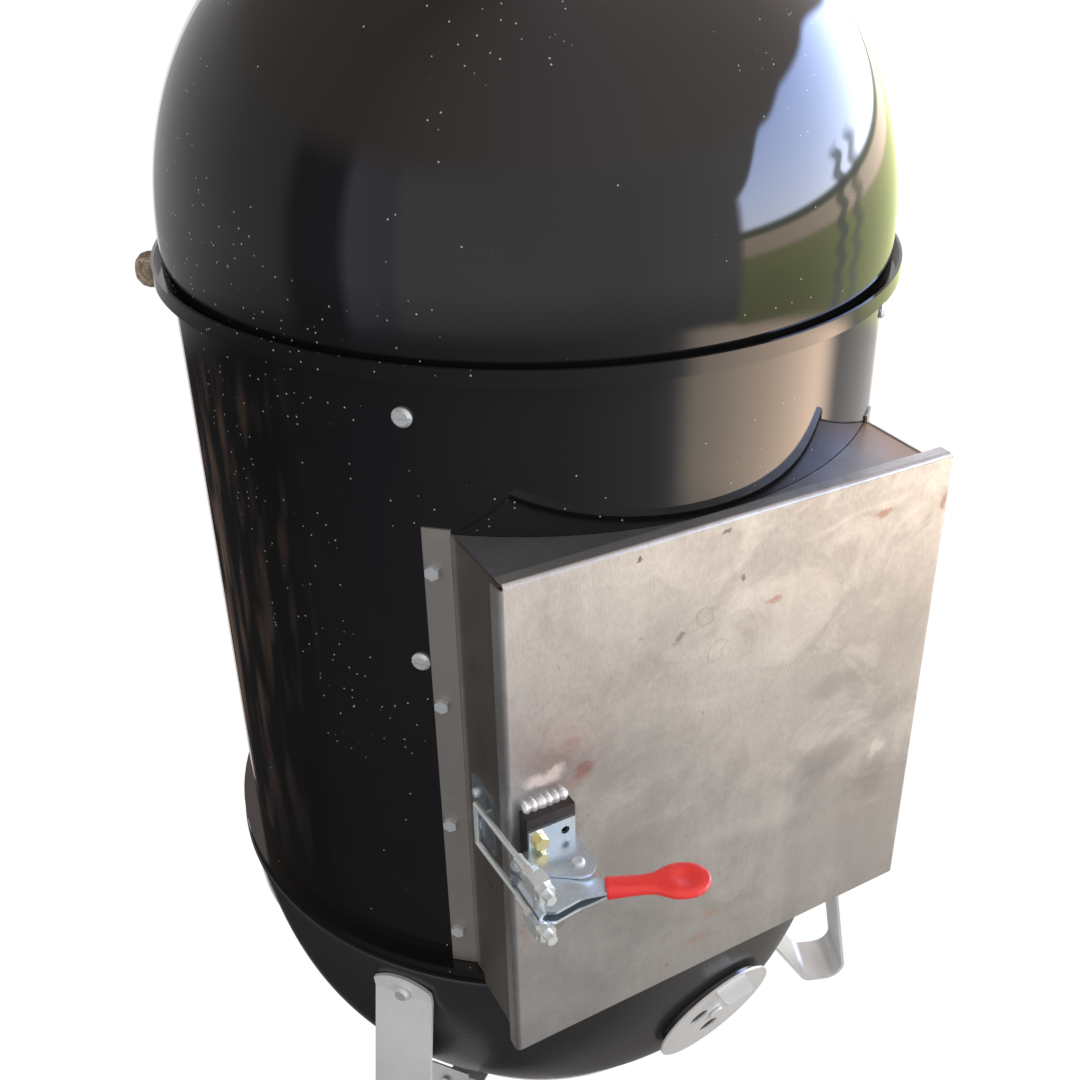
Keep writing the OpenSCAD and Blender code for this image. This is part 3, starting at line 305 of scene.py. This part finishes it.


# Clouds, smudges and rust on the door's face, and a painted shadow around the latch pad: across and
# height in mm, half sizes, colour, strength
DOOR_MARKS_AND_SHADOW = [
    (86, 436, 34, 20, (0.17, 0.165, 0.17), 0.45),
    (129, 400, 22, 26, (0.2, 0.19, 0.19), 0.4),
    (89, 498, 30, 13, (0.2, 0.19, 0.19), 0.4),
    (135, 461, 16, 20, (0.2, 0.19, 0.19), 0.35),
    (-50, 466, 24, 13, (0.22, 0.21, 0.21), 0.35),
    (133, 427, 11, 9, (0.62, 0.6, 0.58), 0.5),
    # painted shadow around the latch pad
    (-128, 468, 30, 46, (0.12, 0.11, 0.105), 0.35),
    (-126, 511, 17, 8, (0.85, 0.83, 0.82), 0.85),
    (-100, 507, 8, 8, (0.25, 0.08, 0.07), 0.55),
    (30, 581, 9, 4, (0.3, 0.11, 0.08), 0.5),
    (-106, 500, 12, 7, (0.36, 0.16, 0.12), 0.3),
    (-107, 530, 9, 5, (0.36, 0.16, 0.12), 0.25),
    (-3, 338, 7, 7, (0.5, 0.26, 0.12), 0.3),
    (-14, 319, 12, 6, (0.4, 0.17, 0.14), 0.3),
    (-37, 577, 3, 3, (0.12, 0.11, 0.11), 0.6),
    (-65, 639, 3, 2, (0.1, 0.05, 0.04), 0.8),
    (-7, 640, 4, 2, (0.1, 0.05, 0.04), 0.8),
    (6, 604, 3, 3, (0.12, 0.06, 0.05), 0.7),
    (112, 619, 9, 4, (0.26, 0.12, 0.08), 0.6),
    (163, 614, 4, 9, (0.2, 0.1, 0.07), 0.6),
]
DOOR_RINGS = [(-18, 587, 8), (-9, 559, 7)]  # across, height, radius


def spot(n, place, x, z, half_wide, half_high):
    """Distance from a mark's middle, counted in its half sizes."""
    across = n.math("DIVIDE", n.math("SUBTRACT", place[0], x * MM), half_wide * MM)
    up = n.math("DIVIDE", n.math("SUBTRACT", place[1], z * MM), half_high * MM)
    squares = n.math("ADD", n.math("MULTIPLY", across, across), n.math("MULTIPLY", up, up))
    return n.math("SQRT", squares)


def door_marks_and_shade(n, at, colour):
    """Clouds over the whole sheet, painted shade towards its foot, and spots, rings and a painted
    shadow on its outer face only.
    """
    x, y, z = n.add("ShaderNodeSeparateXYZ", {"Vector": at}).outputs
    outside = n.math("LESS_THAN", y, DOOR_FACE_Y + 0.7 * MM)
    ragged = n.math("MULTIPLY", n.math("SUBTRACT", n.noise(at, 70, 4, 0.7), 0.5), 0.016)
    x = n.math("ADD", n.math("SUBTRACT", x, AXIS.x), ragged)
    z = n.math("ADD", z, ragged)
    # duller and cloudier to the right of a slanting edge; painted shade darkens the sheet towards
    # the foot
    edge = n.math("SUBTRACT", x, n.math("MULTIPLY", n.math("SUBTRACT", DOOR_HIGH.z, z), 0.059))
    dull = n.grey_ramp(edge, [(0.036, 0), (0.046, 0.3)], "EASE")
    colour = n.mix(dull, colour, (0.26, 0.25, 0.25))
    cloud = n.grey_ramp(n.noise(at, 10, 6, 0.68, 0.9), [(0.46, 0), (0.66, 0.6)])
    colour = n.mix(cloud, colour, (0.25, 0.245, 0.24))
    bare = n.noise(n.moved(at, (1.3, 0.4, 2.6)), 15, 5, 0.66, 1.1)
    colour = n.mix(n.grey_ramp(bare, [(0.5, 0), (0.7, 0.45)]), colour, (0.62, 0.61, 0.6))
    # painted shade: the lower half of the door darker
    low_shade = n.grey_ramp(z, [(0.3, 0.34), (0.6, 0.0)])
    colour = n.mix(low_shade, colour, (0.2, 0.195, 0.19))
    for mark_x, mark_z, half_wide, half_high, tint, strength in DOOR_MARKS_AND_SHADOW:
        far = spot(n, (x, z), mark_x, mark_z, half_wide, half_high)
        seen = n.math("MULTIPLY", n.grey_ramp(far, [(0.35, strength), (1.0, 0)], "EASE"), outside)
        colour = n.mix(seen, colour, tint)
    for ring_x, ring_z, radius in DOOR_RINGS:
        far = spot(n, (x, z), ring_x, ring_z, radius, radius)
        seen = n.math("MULTIPLY", n.grey_ramp(far, [(0.7, 0), (0.82, 0.4), (0.95, 0)]), outside)
        colour = n.mix(seen, colour, (0.22, 0.16, 0.14))
    return colour


def rusty_corner(n, at, colour):
    """Rust on the top plate's right end."""
    x = n.add("ShaderNodeSeparateXYZ", {"Vector": at}).outputs[0]
    ragged = n.math("MULTIPLY", n.noise(at, 60, 4, 0.7), 0.03)
    far = n.math("ADD", n.math("SUBTRACT", x, AXIS.x), ragged)
    return n.mix(n.grey_ramp(far, [(0.125, 0), (0.16, 0.8)]), colour, (0.3, 0.19, 0.12))


def lighter_strip(n, at, colour):
    """The bolting strips along the barrel stay lighter than the box's side walls."""
    y = n.add("ShaderNodeSeparateXYZ", {"Vector": at}).outputs[1]
    inward = n.math("ADD", n.math("SUBTRACT", y, AXIS.y), 0.5)
    return n.mix(n.grey_ramp(inward, [(0.308, 0), (0.312, 1)]), colour, (0.36, 0.335, 0.31))


MATERIALS = {
    "enamel_gloss": enamel("lid and barrel enamel", 0.035, 0.35),
    "enamel_bowl": enamel("bowl enamel", 0.2, 0, 0.02),
    "pan_enamel": enamel("pan enamel", 0.12, 0.02),
    "mild_steel": bare_steel("box steel", (0.19, 0.168, 0.152), (0.11, 0.092, 0.082), 0.5,
                             overlay=lighter_strip),
    "steel_dark": bare_steel("pad steel", (0.06, 0.05, 0.05), (0.022, 0.018, 0.018), 0.3, 0.3),
    "aluminium": satin_aluminium("satin aluminium"),
    "zinc": plated("zinc plate", (0.74, 0.77, 0.76), (0.62, 0.66, 0.67), 0.24, 0.7),
    "zinc_blue": plated("blue zinc plate", (0.62, 0.76, 0.84), (0.72, 0.78, 0.86), 0.22),
    "zinc_yellow": plated("yellow zinc plate", (0.9, 0.74, 0.3), (0.78, 0.66, 0.42), 0.28),
    "wire": plated("grate wire", (0.55, 0.55, 0.56), (0.38, 0.37, 0.36), 0.25),
    "weld": plated("weld metal", (0.9, 0.9, 0.91), (0.6, 0.58, 0.58), 0.2, 0.6),
    "red_grip": dipped_vinyl("red dipped vinyl"),
    "cork": cork("cork stopper"),
    "nylon": black_nylon("black nylon"),
}
DOOR_STEEL = bare_steel("door steel", (0.46, 0.453, 0.445), (0.34, 0.334, 0.326), 0.45, 0.25,
                        door_marks_and_shade)
TOP_STEEL = bare_steel("box top steel", (0.32, 0.315, 0.335), (0.17, 0.16, 0.165), 0.3, 0.24,
                       rusty_corner)


def dress(obj, material):
    obj.data.materials.clear()
    obj.data.materials.append(material)


def dress_frame():
    for name, obj in frame["nodes"].items():
        dress(obj, MATERIALS[SLOTS[name]])
    dress(frame["nodes"]["door_panel"], DOOR_STEEL)
    dress(frame["nodes"]["frame_top"], TOP_STEEL)


# ---------------------------------------------------------------- mesh helpers
def piece(name, bm, body, material, stands_for=None):
    """A finished mesh as a scene piece that rides on a body."""
    bmesh.ops.recalc_face_normals(bm, faces=bm.faces)
    mesh = bpy.data.meshes.new(name)
    bm.to_mesh(mesh)
    bm.free()
    obj = bpy.data.objects.new(name, mesh)
    bpy.context.collection.objects.link(obj)
    shade_softly(obj)
    dress(obj, material)
    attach(obj, body)
    if stands_for:
        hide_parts(stands_for)
    return obj


CRISP_ANGLE = math.radians(35)


def shade_softly(obj):
    """Smooth shading that keeps the corners crisp."""
    obj.data.shade_smooth()
    for edge in sharp_edges(obj.data, CRISP_ANGLE):
        edge.use_edge_sharp = True


def sharp_edges(mesh, limit):
    faces_of = {}
    for polygon in mesh.polygons:
        for key in polygon.edge_keys:
            faces_of.setdefault(key, []).append(polygon.normal)
    for edge in mesh.edges:
        normals = faces_of.get(edge.key, [])
        if len(normals) == 2 and normals[0].angle(normals[1], 0) > limit:
            yield edge


def lathe(bm, profile, steps, place):
    """Turn a closed profile of (radius, height) about the place's +Z into a closed shell."""
    rings = []
    for k in range(steps):
        angle = 2 * math.pi * k / steps
        cos, sin = math.cos(angle), math.sin(angle)
        rings.append([bm.verts.new(place @ Vector((r * cos, r * sin, z))) for r, z in profile])
    for k in range(steps):
        ring, following = rings[k], rings[(k + 1) % steps]
        for i in range(len(profile)):
            j = (i + 1) % len(profile)
            bm.faces.new((ring[i], following[i], following[j], ring[j]))
    bmesh.ops.remove_doubles(bm, verts=bm.verts, dist=1e-6)


def close_loft(bm, rings):
    """Join rings of points one after another and close both ends."""
    for ring, following in zip(rings, rings[1:]):
        for k in range(len(ring)):
            j = (k + 1) % len(ring)
            bm.faces.new((ring[k], following[k], following[j], ring[j]))
    bm.faces.new(rings[0])
    bm.faces.new(rings[-1])


def carved(obj, cutters):
    """Cut round holes, each given by a matrix with +Z along it, a radius and a reach either way."""
    bm = bmesh.new()
    for place, radius, reach in cutters:
        bmesh.ops.create_cone(bm, cap_ends=True, segments=64, radius1=radius, radius2=radius,
                              depth=2 * reach, matrix=place)
    mesh = bpy.data.meshes.new("cutter")
    bm.to_mesh(mesh)
    bm.free()
    tool = bpy.data.objects.new("cutter", mesh)
    bpy.context.collection.objects.link(tool)
    cut = obj.modifiers.new("cut", "BOOLEAN")
    cut.object = tool
    cut.operation = "DIFFERENCE"
    cut.solver = "EXACT"
    graph = bpy.context.evaluated_depsgraph_get()
    done = bpy.data.meshes.new_from_object(obj.evaluated_get(graph))
    obj.modifiers.clear()
    obj.data = done
    bpy.data.objects.remove(tool)


def hub(joint):
    """Place of a damper's rivet on the surface, with +Z outward."""
    normal = Vector(JOINTS[joint]["axis"])
    up = normal.to_track_quat("Z", "Y").to_matrix().to_4x4()
    return Matrix.Translation(Vector(JOINTS[joint]["pos_m"])) @ up


def seat_cup(bm, place, radius):
    """Pressed flat seat under a damper, with a rounded edge and a short wall into the shell."""
    edge = [(radius, -8.5), (radius + 2, -8.5), (radius + 2, -0.6), (radius + 1.4, 0.5),
            (radius + 0.5, 0.8), (9.0, 0.8), (9.0, -0.8), (radius, -0.8)]
    lathe(bm, [(r * MM, z * MM) for r, z in edge], 96, place)


# ---------------------------------------------------------------- lid and bowl
SKIN = 2.0 * MM
DOME_WIDE_Z = 758.4 * MM
DOME_RISE = 232.6 * MM
DOME_ROUND = 2.12
DOME_RADIUS = (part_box("lid")[1].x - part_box("lid")[0].x) / 2
BOWL_WIDE_Z = 451.7 * MM
BOWL_FALL = 373.5 * MM
BOWL_ROUND = 3.402
BOWL_RIM_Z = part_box("charcoal_bowl")[1].z
BOWL_RADIUS = 246.25 * MM
VENT_RADIUS = 8 * MM
VENT_FROM_HUB = 22 * MM
LID_SEAT = 38  # radii of the flat seats, mm
BOWL_SEAT = 41.5
SEAT_CUT = 0.5  # the shell is cut this much smaller than its seat, so that they meet
SHELL_REACH = 30 * MM  # long enough to cut through a curved shell
GAUGE_UP = 0.4  # share of the dome's rise
GAUGE_HOLE = 5 * MM
POST_INSET = 7 * MM  # from the ends of the posts' box to their bolts
POST_HOLE = 3 * MM


def curve(radius, rise, roundness, start, steps):
    """Superellipse from the angle start up to the middle, as radius and height."""
    for i in range(steps + 1):
        angle = start + (math.pi / 2 - start) * i / steps
        across = radius * max(math.cos(angle), 0) ** (2 / roundness)
        yield across, rise * math.sin(angle) ** (2 / roundness)


def smooth_lid():
    bm = bmesh.new()
    seat_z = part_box("lid")[0].z
    outer = [(r, DOME_WIDE_Z + h) for r, h in curve(DOME_RADIUS, DOME_RISE, DOME_ROUND, 0, 90)]
    inner = [(r, DOME_WIDE_Z + h)
             for r, h in curve(DOME_RADIUS - SKIN, DOME_RISE - SKIN, DOME_ROUND, 0, 60)]
    profile = [(DOME_RADIUS, seat_z)] + outer + inner[::-1] + [(DOME_RADIUS - SKIN, seat_z)]
    lathe(bm, profile, 240, Matrix.Translation(AXIS))
    lid = piece("lid_skin", bm, "lid_body", MATERIALS["enamel_gloss"], "lid")
    damper = hub("lid_vent_turn")
    cutters = [(damper, (LID_SEAT - SEAT_CUT) * MM, SHELL_REACH), (gauge_place(), GAUGE_HOLE, 0.02)]
    low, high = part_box("lid_handle_posts")
    for x in (low.x + POST_INSET, high.x - POST_INSET):
        top = Matrix.Translation((x, AXIS.y, DOME_WIDE_Z + DOME_RISE))
        cutters.append((top, POST_HOLE, 0.01))
    carved(lid, cutters)
    shade_softly(lid)
    seat = bmesh.new()
    seat_cup(seat, damper, LID_SEAT)
    seat_piece = piece("lid_seat", seat, "lid_body", MATERIALS["enamel_gloss"])
    drill_vents(seat_piece, damper)


def gauge_place():
    low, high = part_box("thermometer_nut")
    centre = (low + high) / 2
    lean = math.atan2(*reversed(dome_normal(GAUGE_UP * DOME_RISE)))
    side = centre - AXIS
    outward = Vector((side.x, side.y, 0)).normalized()
    normal = outward * math.cos(lean) + Vector((0, 0, math.sin(lean)))
    return Matrix.Translation(centre) @ normal.to_track_quat("Z", "Y").to_matrix().to_4x4()


def dome_normal(h):
    """Outward and upward parts of the dome's normal at height h above its widest line."""
    across = DOME_RADIUS * (1 - (h / DOME_RISE) ** DOME_ROUND) ** (1 / DOME_ROUND)
    out = (across / DOME_RADIUS) ** (DOME_ROUND - 1) / DOME_RADIUS
    up = (h / DOME_RISE) ** (DOME_ROUND - 1) / DOME_RISE
    return out, up


def drill_vents(obj, place):
    cutters = []
    for k in range(3):
        turn = Matrix.Rotation(math.radians(90 + 120 * k), 4, "Z")
        hole = place @ turn @ Matrix.Translation((VENT_FROM_HUB, 0, 0))
        cutters.append((hole, VENT_RADIUS, 4 * MM))
    carved(obj, cutters)
    shade_softly(obj)


def smooth_bowl():
    bm = bmesh.new()
    rim = BOWL_WIDE_Z - BOWL_RIM_Z
    at_rim = (1 - (rim / BOWL_FALL) ** BOWL_ROUND) ** (1 / BOWL_ROUND)
    start = math.acos(at_rim ** (BOWL_ROUND / 2))
    outer = [(r, BOWL_WIDE_Z - h) for r, h in curve(BOWL_RADIUS, BOWL_FALL, BOWL_ROUND, start, 90)]
    inner = [(r, BOWL_WIDE_Z - h)
             for r, h in curve(BOWL_RADIUS - SKIN, BOWL_FALL - SKIN, BOWL_ROUND, start, 60)]
    wall = outer[0][0]
    bead = [(wall + out * MM, BOWL_RIM_Z - down * MM)
            for out, down in ((-1, 0.2), (1.4, 0.2), (2.2, 1.2), (2.3, 3.6), (1.3, 4.8))]
    below = [(r, z) for r, z in outer if z < BOWL_RIM_Z - 5 * MM]
    lathe(bm, bead + below + inner[::-1], 240, Matrix.Translation(AXIS))
    bowl = piece("bowl_skin", bm, "base", MATERIALS["enamel_bowl"], "charcoal_bowl")
    hubs = [hub("vent_%d_turn" % (i + 1)) for i in range(3)]
    carved(bowl, [(place, (BOWL_SEAT - SEAT_CUT) * MM, SHELL_REACH) for place in hubs])
    shade_softly(bowl)
    for i, place in enumerate(hubs):
        seat = bmesh.new()
        seat_cup(seat, place, BOWL_SEAT)
        drill_vents(piece("bowl_seat_%d" % (i + 1), seat, "base", MATERIALS["enamel_bowl"]), place)


# ---------------------------------------------------------------- latch lever, grip and weld
LEVER_PIVOT = Vector(JOINTS["latch_lever_turn"]["pos_m"])
GRIP_LEAN = math.radians(-22.5)
PLATE_SHIFT = 2.4 * MM  # each plate's way to the middle before the grip
BEND_FROM = 19 * MM  # from the pivot, along the door
BEND_TO = 38 * MM
# place along the grip, half width, half thickness, mm
GRIP_SECTIONS = [(-1.0, 5.4, 4.4), (0.5, 6.6, 5.2), (6, 6.7, 4.4), (14, 6.6, 3.7), (22, 6.6, 3.5),
                 (28, 7.6, 3.5), (33, 10.4, 3.6), (38, 12.7, 3.7), (44, 13.3, 3.7), (50, 12.6, 3.6),
                 (55, 10.0, 3.3), (58.5, 6.2, 2.7), (60, 2.6, 1.6)]
GRIP_START = Vector((36.4 * MM, -34.2 * MM, 0))  # from the lever's pivot
SQUARENESS = 0.72  # below 1 the sections are fuller than an ellipse
CUP_AT = 45.5  # the thumb hollow: place along the grip, radius and depth, mm
CUP_RADIUS = 10.5
CUP_DEPTH = 2.3


def ease(t):
    t = min(max(t, 0), 1)
    return t * t * (3 - 2 * t)


def closing_lever():
    """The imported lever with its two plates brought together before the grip."""
    bm = bmesh.new()
    bm.from_mesh(frame["nodes"]["latch_lever"].data)
    bm.transform(frame["nodes"]["latch_lever"].matrix_world)
    low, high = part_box("latch_lever")
    level = (low.z + high.z) / 2
    cuts = 10
    for i in range(cuts + 1):
        x = LEVER_PIVOT.x + BEND_FROM + (BEND_TO - BEND_FROM) * i / cuts
        everything = bm.verts[:] + bm.edges[:] + bm.faces[:]
        bmesh.ops.bisect_plane(bm, geom=everything, plane_co=(x, 0, 0), plane_no=(1, 0, 0))
    for vert in bm.verts:
        along = (vert.co.x - LEVER_PIVOT.x - BEND_FROM) / (BEND_TO - BEND_FROM)
        vert.co.z -= math.copysign(PLATE_SHIFT * ease(along), vert.co.z - level)
    piece("closing_lever", bm, "lever", MATERIALS["zinc_blue"], "latch_lever")


def section_at(place):
    """Half width and half thickness of the grip at a place, eased between the given sections."""
    for (a, wide_a, thick_a), (b, wide_b, thick_b) in zip(GRIP_SECTIONS, GRIP_SECTIONS[1:]):
        if place <= b:
            t = (place - a) / (b - a)
            return wide_a + (wide_b - wide_a) * t, thick_a + (thick_b - thick_a) * t
    return GRIP_SECTIONS[-1][1:]


def cupped_grip():
    """Round-edged vinyl grip: a thin neck and a thumb spoon hollowed on top."""
    low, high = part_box("latch_lever")
    start = LEVER_PIVOT + GRIP_START
    start.z = (low.z + high.z) / 2
    place = Matrix.Translation(start) @ Matrix.Rotation(GRIP_LEAN, 4, "Z")
    bm = bmesh.new()
    rings = []
    steps, around = 122, 64
    first, last = GRIP_SECTIONS[0][0], GRIP_SECTIONS[-1][0]
    for i in range(steps + 1):
        x = first + (last - first) * i / steps
        wide, thick = section_at(x)
        ring = []
        for k in range(around):
            angle = 2 * math.pi * k / around
            y = wide * math.copysign(abs(math.cos(angle)) ** SQUARENESS, math.cos(angle))
            z = thick * math.copysign(abs(math.sin(angle)) ** SQUARENESS, math.sin(angle))
            far = math.hypot(x - CUP_AT, y) / CUP_RADIUS
            if z > 0:
                z -= CUP_DEPTH * (1 - ease(far)) * z / thick
            ring.append(bm.verts.new(place @ (Vector((x, y, z)) * MM)))
        rings.append(ring)
    close_loft(bm, rings)
    grip = piece("dipped_grip", bm, "lever", MATERIALS["red_grip"], "latch_grip")
    settle(grip)


def settle(obj):
    """Even out the lofted sections."""
    bm = bmesh.new()
    bm.from_mesh(obj.data)
    for _ in range(6):
        bmesh.ops.smooth_vert(bm, verts=bm.verts, factor=0.5, use_axis_x=True, use_axis_y=True,
                              use_axis_z=True)
    bm.to_mesh(obj.data)
    bm.free()


def rippled_weld():
    """Short weld bead over the pad's top edge, laid in overlapping drops."""
    low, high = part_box("weld_bead")
    drops, steps, around = 6, 90, 14
    bm = bmesh.new()
    rings = []
    for i in range(steps + 1):
        t = i / steps
        drop = abs(math.sin(math.pi * drops * t + 0.5 + 1.2 * noise.noise(Vector((t * 5, 1.7, 0)))))
        size = 0.7 + 0.24 * drop + 0.1 * noise.noise(Vector((t * 11, 0.3, 0)))
        size *= 0.72 + 0.28 * ease(min(t, 1 - t) * 14)
        ring = []
        for k in range(around + 1):
            angle = math.pi / 2 * k / around
            out = (high.y - low.y) * size * math.cos(angle) ** 0.7
            up = (high.z - low.z) * size * math.sin(angle) ** 0.7
            ring.append(bm.verts.new((low.x + (high.x - low.x) * t, high.y - out, low.z + up)))
        ring.append(bm.verts.new((low.x + (high.x - low.x) * t, high.y, low.z)))
        rings.append(ring)
    close_loft(bm, rings)
    piece("rippled_weld", bm, "door", MATERIALS["weld"], "weld_bead")


# ---------------------------------------------------------------- stage and light
def by_turn(n, turn, stops, smooth="LINEAR"):
    """Ramp over directions round the smoker, in degrees: 0 in front of the door, + to the right."""
    places = [(degrees / 360 + 0.5, as_colour(value)) for degrees, value in stops]
    return n.ramp(turn, places, smooth)


def by_rise(n, rise, stops, smooth="LINEAR"):
    """Ramp over the height of a direction, from -1 straight down to 1 straight up."""
    return n.ramp(rise, [((z + 1) / 2, as_colour(value)) for z, value in stops], smooth)


def as_colour(value):
    return value if isinstance(value, tuple) else (value, value, value)


def yard_colours(n, turn, rise, way):
    """What the glossy enamel mirrors: a shaded porch on the left, sky over a field on the right."""
    shaded = porch_colours(n, turn, rise, way)
    outside = n.math("MULTIPLY", by_turn(n, turn, [(34, 0), (37, 1), (140, 1), (170, 0)], "EASE"),
                     under_eaves(n, turn, rise))
    outside = n.math("MULTIPLY", outside, by_rise(n, rise, [(-0.36, 0), (-0.335, 1)], "EASE"))
    return n.mix(outside, shaded, field_colours(n, turn, rise))


def porch_colours(n, turn, rise, way):
    """Roof, wall and deck around the smoker, with a bright strip of paving on the right."""
    roof = by_turn(n, turn, [
        (-150, (0.42, 0.35, 0.3)), (-85, (0.5, 0.4, 0.36)), (-45, (0.78, 0.7, 0.67)),
        (0, (1.0, 0.92, 0.9)), (50, (1.2, 1.05, 1.0))])
    wall = by_turn(n, turn, [
        (-175, (0.62, 0.6, 0.6)), (-125, (0.42, 0.42, 0.43)), (-104, (0.38, 0.38, 0.4)),
        (-98, (0.12, 0.11, 0.13)), (-84, (0.15, 0.14, 0.17)), (-80, (0.72, 0.68, 0.82)),
        (-68, (0.6, 0.58, 0.68)), (-64, (0.85, 0.84, 0.86)), (0, (0.85, 0.85, 0.9)),
        (36, (1.2, 1.15, 1.15))])
    deck = by_turn(n, turn, [
        (-120, (0.03, 0.028, 0.03)), (-80, (0.12, 0.12, 0.14)), (-20, (0.3, 0.29, 0.3)),
        (8, (0.5, 0.48, 0.5)), (24, (1.05, 1.0, 0.97)), (60, (1.5, 1.38, 1.25)),
        (85, (0.9, 0.85, 0.82))])
    deep = by_rise(n, rise, [(-0.95, 0.25), (-0.8, 0.4), (-0.66, 0.72), (-0.53, 1)])
    deck = n.mix(1.0, deck, deep, "MULTIPLY")
    wall = n.mix(1.0, wall, by_rise(n, rise, [(-0.33, 0.6), (-0.15, 1)]), "MULTIPLY")
    shaded = n.mix(by_rise(n, rise, [(0.3, 0), (0.46, 1)]), wall, roof)
    shaded = n.mix(by_rise(n, rise, [(-0.37, 1), (-0.31, 0)]), shaded, deck)
    # warm light patches low on the left, as through a fence
    fence = n.grey_ramp(n.noise(n.stretched(way, (9, 9, 13)), 1, 2, 0.5), [(0.5, 0), (0.66, 1)])
    fence = n.math("MULTIPLY", fence, by_turn(n, turn, [(-125, 1), (-100, 0)]))
    low = by_rise(n, rise, [(-0.7, 0), (-0.55, 1), (-0.4, 1), (-0.36, 0)])
    fence = n.math("MULTIPLY", fence, low)
    shaded = n.mix(fence, shaded, (0.2, 0.14, 0.11))
    strip = by_rise(n, rise, [(-0.53, 0), (-0.46, 1), (-0.355, 1), (-0.33, 0)], "EASE")
    ahead = by_turn(n, turn, [(14, 0), (26, 1), (72, 1), (88, 0)], "EASE")
    strip = n.math("MULTIPLY", strip, ahead)
    return n.mix(strip, shaded, by_turn(n, turn, [(26, (3.5, 2.9, 2.4)), (70, (8.0, 6.0, 4.6))]))


def field_colours(n, turn, rise):
    """Grass and a pale path under the horizon, sky above it, and two thin trees."""
    open_air = by_rise(n, rise, [
        (-0.42, (1.1, 1.05, 0.6)), (-0.2, (1.5, 1.65, 0.8)), (-0.11, (1.9, 1.9, 1.0)),
        (-0.09, (3.6, 2.9, 2.3)), (-0.03, (3.8, 3.2, 2.5)), (-0.015, (1.0, 1.1, 0.8)),
        (0.005, (1.1, 1.2, 1.0)), (0.02, (8.6, 9.3, 11.5)), (0.15, (7.4, 8.6, 12.0)),
        (0.4, (5.6, 7.0, 11.5)), (0.6, (4.0, 5.2, 9.0))])
    wavy = n.math("MULTIPLY", n.math("SINE", n.math("MULTIPLY", rise, 160.0)), 0.003)
    trees = by_turn(n, n.math("ADD", turn, wavy),
                    [(74, 0), (76, 1), (79, 1), (80, 0), (83, 0), (85, 1), (88, 0.6), (90, 0)])
    trees = n.math("MULTIPLY", trees, by_rise(n, rise, [(0.0, 0.85), (0.1, 0.8), (0.14, 0)]))
    return n.mix(trees, open_air, (0.9, 1.0, 0.9))


def under_eaves(n, turn, rise):
    """1 where the sky shows under the roof's edge, 0 above it."""
    eaves = by_turn(n, turn, [(34, 0.26), (52, 0.62), (68, 0.72), (90, 0.7), (125, 0.3)], "EASE")
    over = n.math("SUBTRACT", n.math("DIVIDE", n.math("SUBTRACT", rise, 0.5), 0.31), eaves)
    return n.grey_ramp(n.math("ADD", over, 0.5), [(0.47, 1), (0.53, 0)], "EASE")


def make_world():
    world = bpy.data.worlds.new("studio")
    bpy.context.scene.world = world
    world.use_nodes = True
    n = Nodes(world.node_tree)
    n.tree.nodes.clear()
    way = n.add("ShaderNodeTexCoord").outputs["Generated"]
    x, y, z = n.add("ShaderNodeSeparateXYZ", {"Vector": way}).outputs
    turn = n.math("ARCTAN2", x, n.math("MULTIPLY", y, -1.0))
    turn = n.math("ADD", n.math("DIVIDE", turn, 2 * math.pi), 0.5)
    rise = n.math("ADD", n.math("MULTIPLY", z, 0.5), 0.5)
    path = n.add("ShaderNodeLightPath")
    yard = yard_colours(n, turn, rise, way)
    studio = n.mix(path.outputs["Is Camera Ray"], (0.8, 0.8, 0.8), (1, 1, 1))
    mirrored = n.add("ShaderNodeBackground", {"Color": yard, "Strength": 1.0})
    plain = n.add("ShaderNodeBackground", {"Color": studio, "Strength": 1.0})
    both = n.add("ShaderNodeMixShader", {0: path.outputs["Is Glossy Ray"]})
    out = n.add("ShaderNodeOutputWorld")
    n.tree.links.new(plain.outputs[0], both.inputs[1])
    n.tree.links.new(mirrored.outputs[0], both.inputs[2])
    n.tree.links.new(both.outputs[0], out.inputs[0])


FLOOR_SIZE = 60
FLOOR_GLOW = 0.96  # share of plain white light in the floor, so that it meets the background


def make_floor():
    bpy.ops.mesh.primitive_plane_add(size=FLOOR_SIZE, location=(0, 0, -0.5 * MM))
    floor = bpy.context.object
    floor.name = "floor"
    material, n, shader = new_material("pale floor", Roughness=0.9)
    at = n.object_coords()
    n.feed(shader.inputs["Base Color"], n.grey_ramp(n.noise(at, 2, 3), [(0.3, 0.86), (0.7, 0.9)]))
    glow = n.add("ShaderNodeEmission", {"Color": (1, 1, 1, 1), "Strength": 1.03})
    blend = n.add("ShaderNodeMixShader", {0: FLOOR_GLOW})
    out = n.tree.nodes["Material Output"]
    n.tree.links.new(shader.outputs[0], blend.inputs[1])
    n.tree.links.new(glow.outputs[0], blend.inputs[2])
    n.tree.links.new(blend.outputs[0], out.inputs[0])
    dress(floor, material)
    floor.visible_glossy = False


def soft_light(name, place, aim, size, power):
    data = bpy.data.lights.new(name, "AREA")
    data.shape = "DISK"
    data.size = size
    data.energy = power
    lamp = bpy.data.objects.new(name, data)
    bpy.context.collection.objects.link(lamp)
    lamp.location = place
    lamp.rotation_euler = (Vector(aim) - Vector(place)).to_track_quat("-Z", "Y").to_euler()
    lamp.visible_glossy = False


make_camera()
dress_frame()
smooth_lid()
smooth_bowl()
closing_lever()
cupped_grip()
rippled_weld()
make_world()
make_floor()
soft_light("key", (1.6, -2.2, 2.6), (0, 0, 0.5), 1.8, 60)
soft_light("fill", (-2.4, -1.4, 1.8), (0, 0, 0.5), 1.8, 20)
bpy.context.scene.view_settings.view_transform = "Standard"
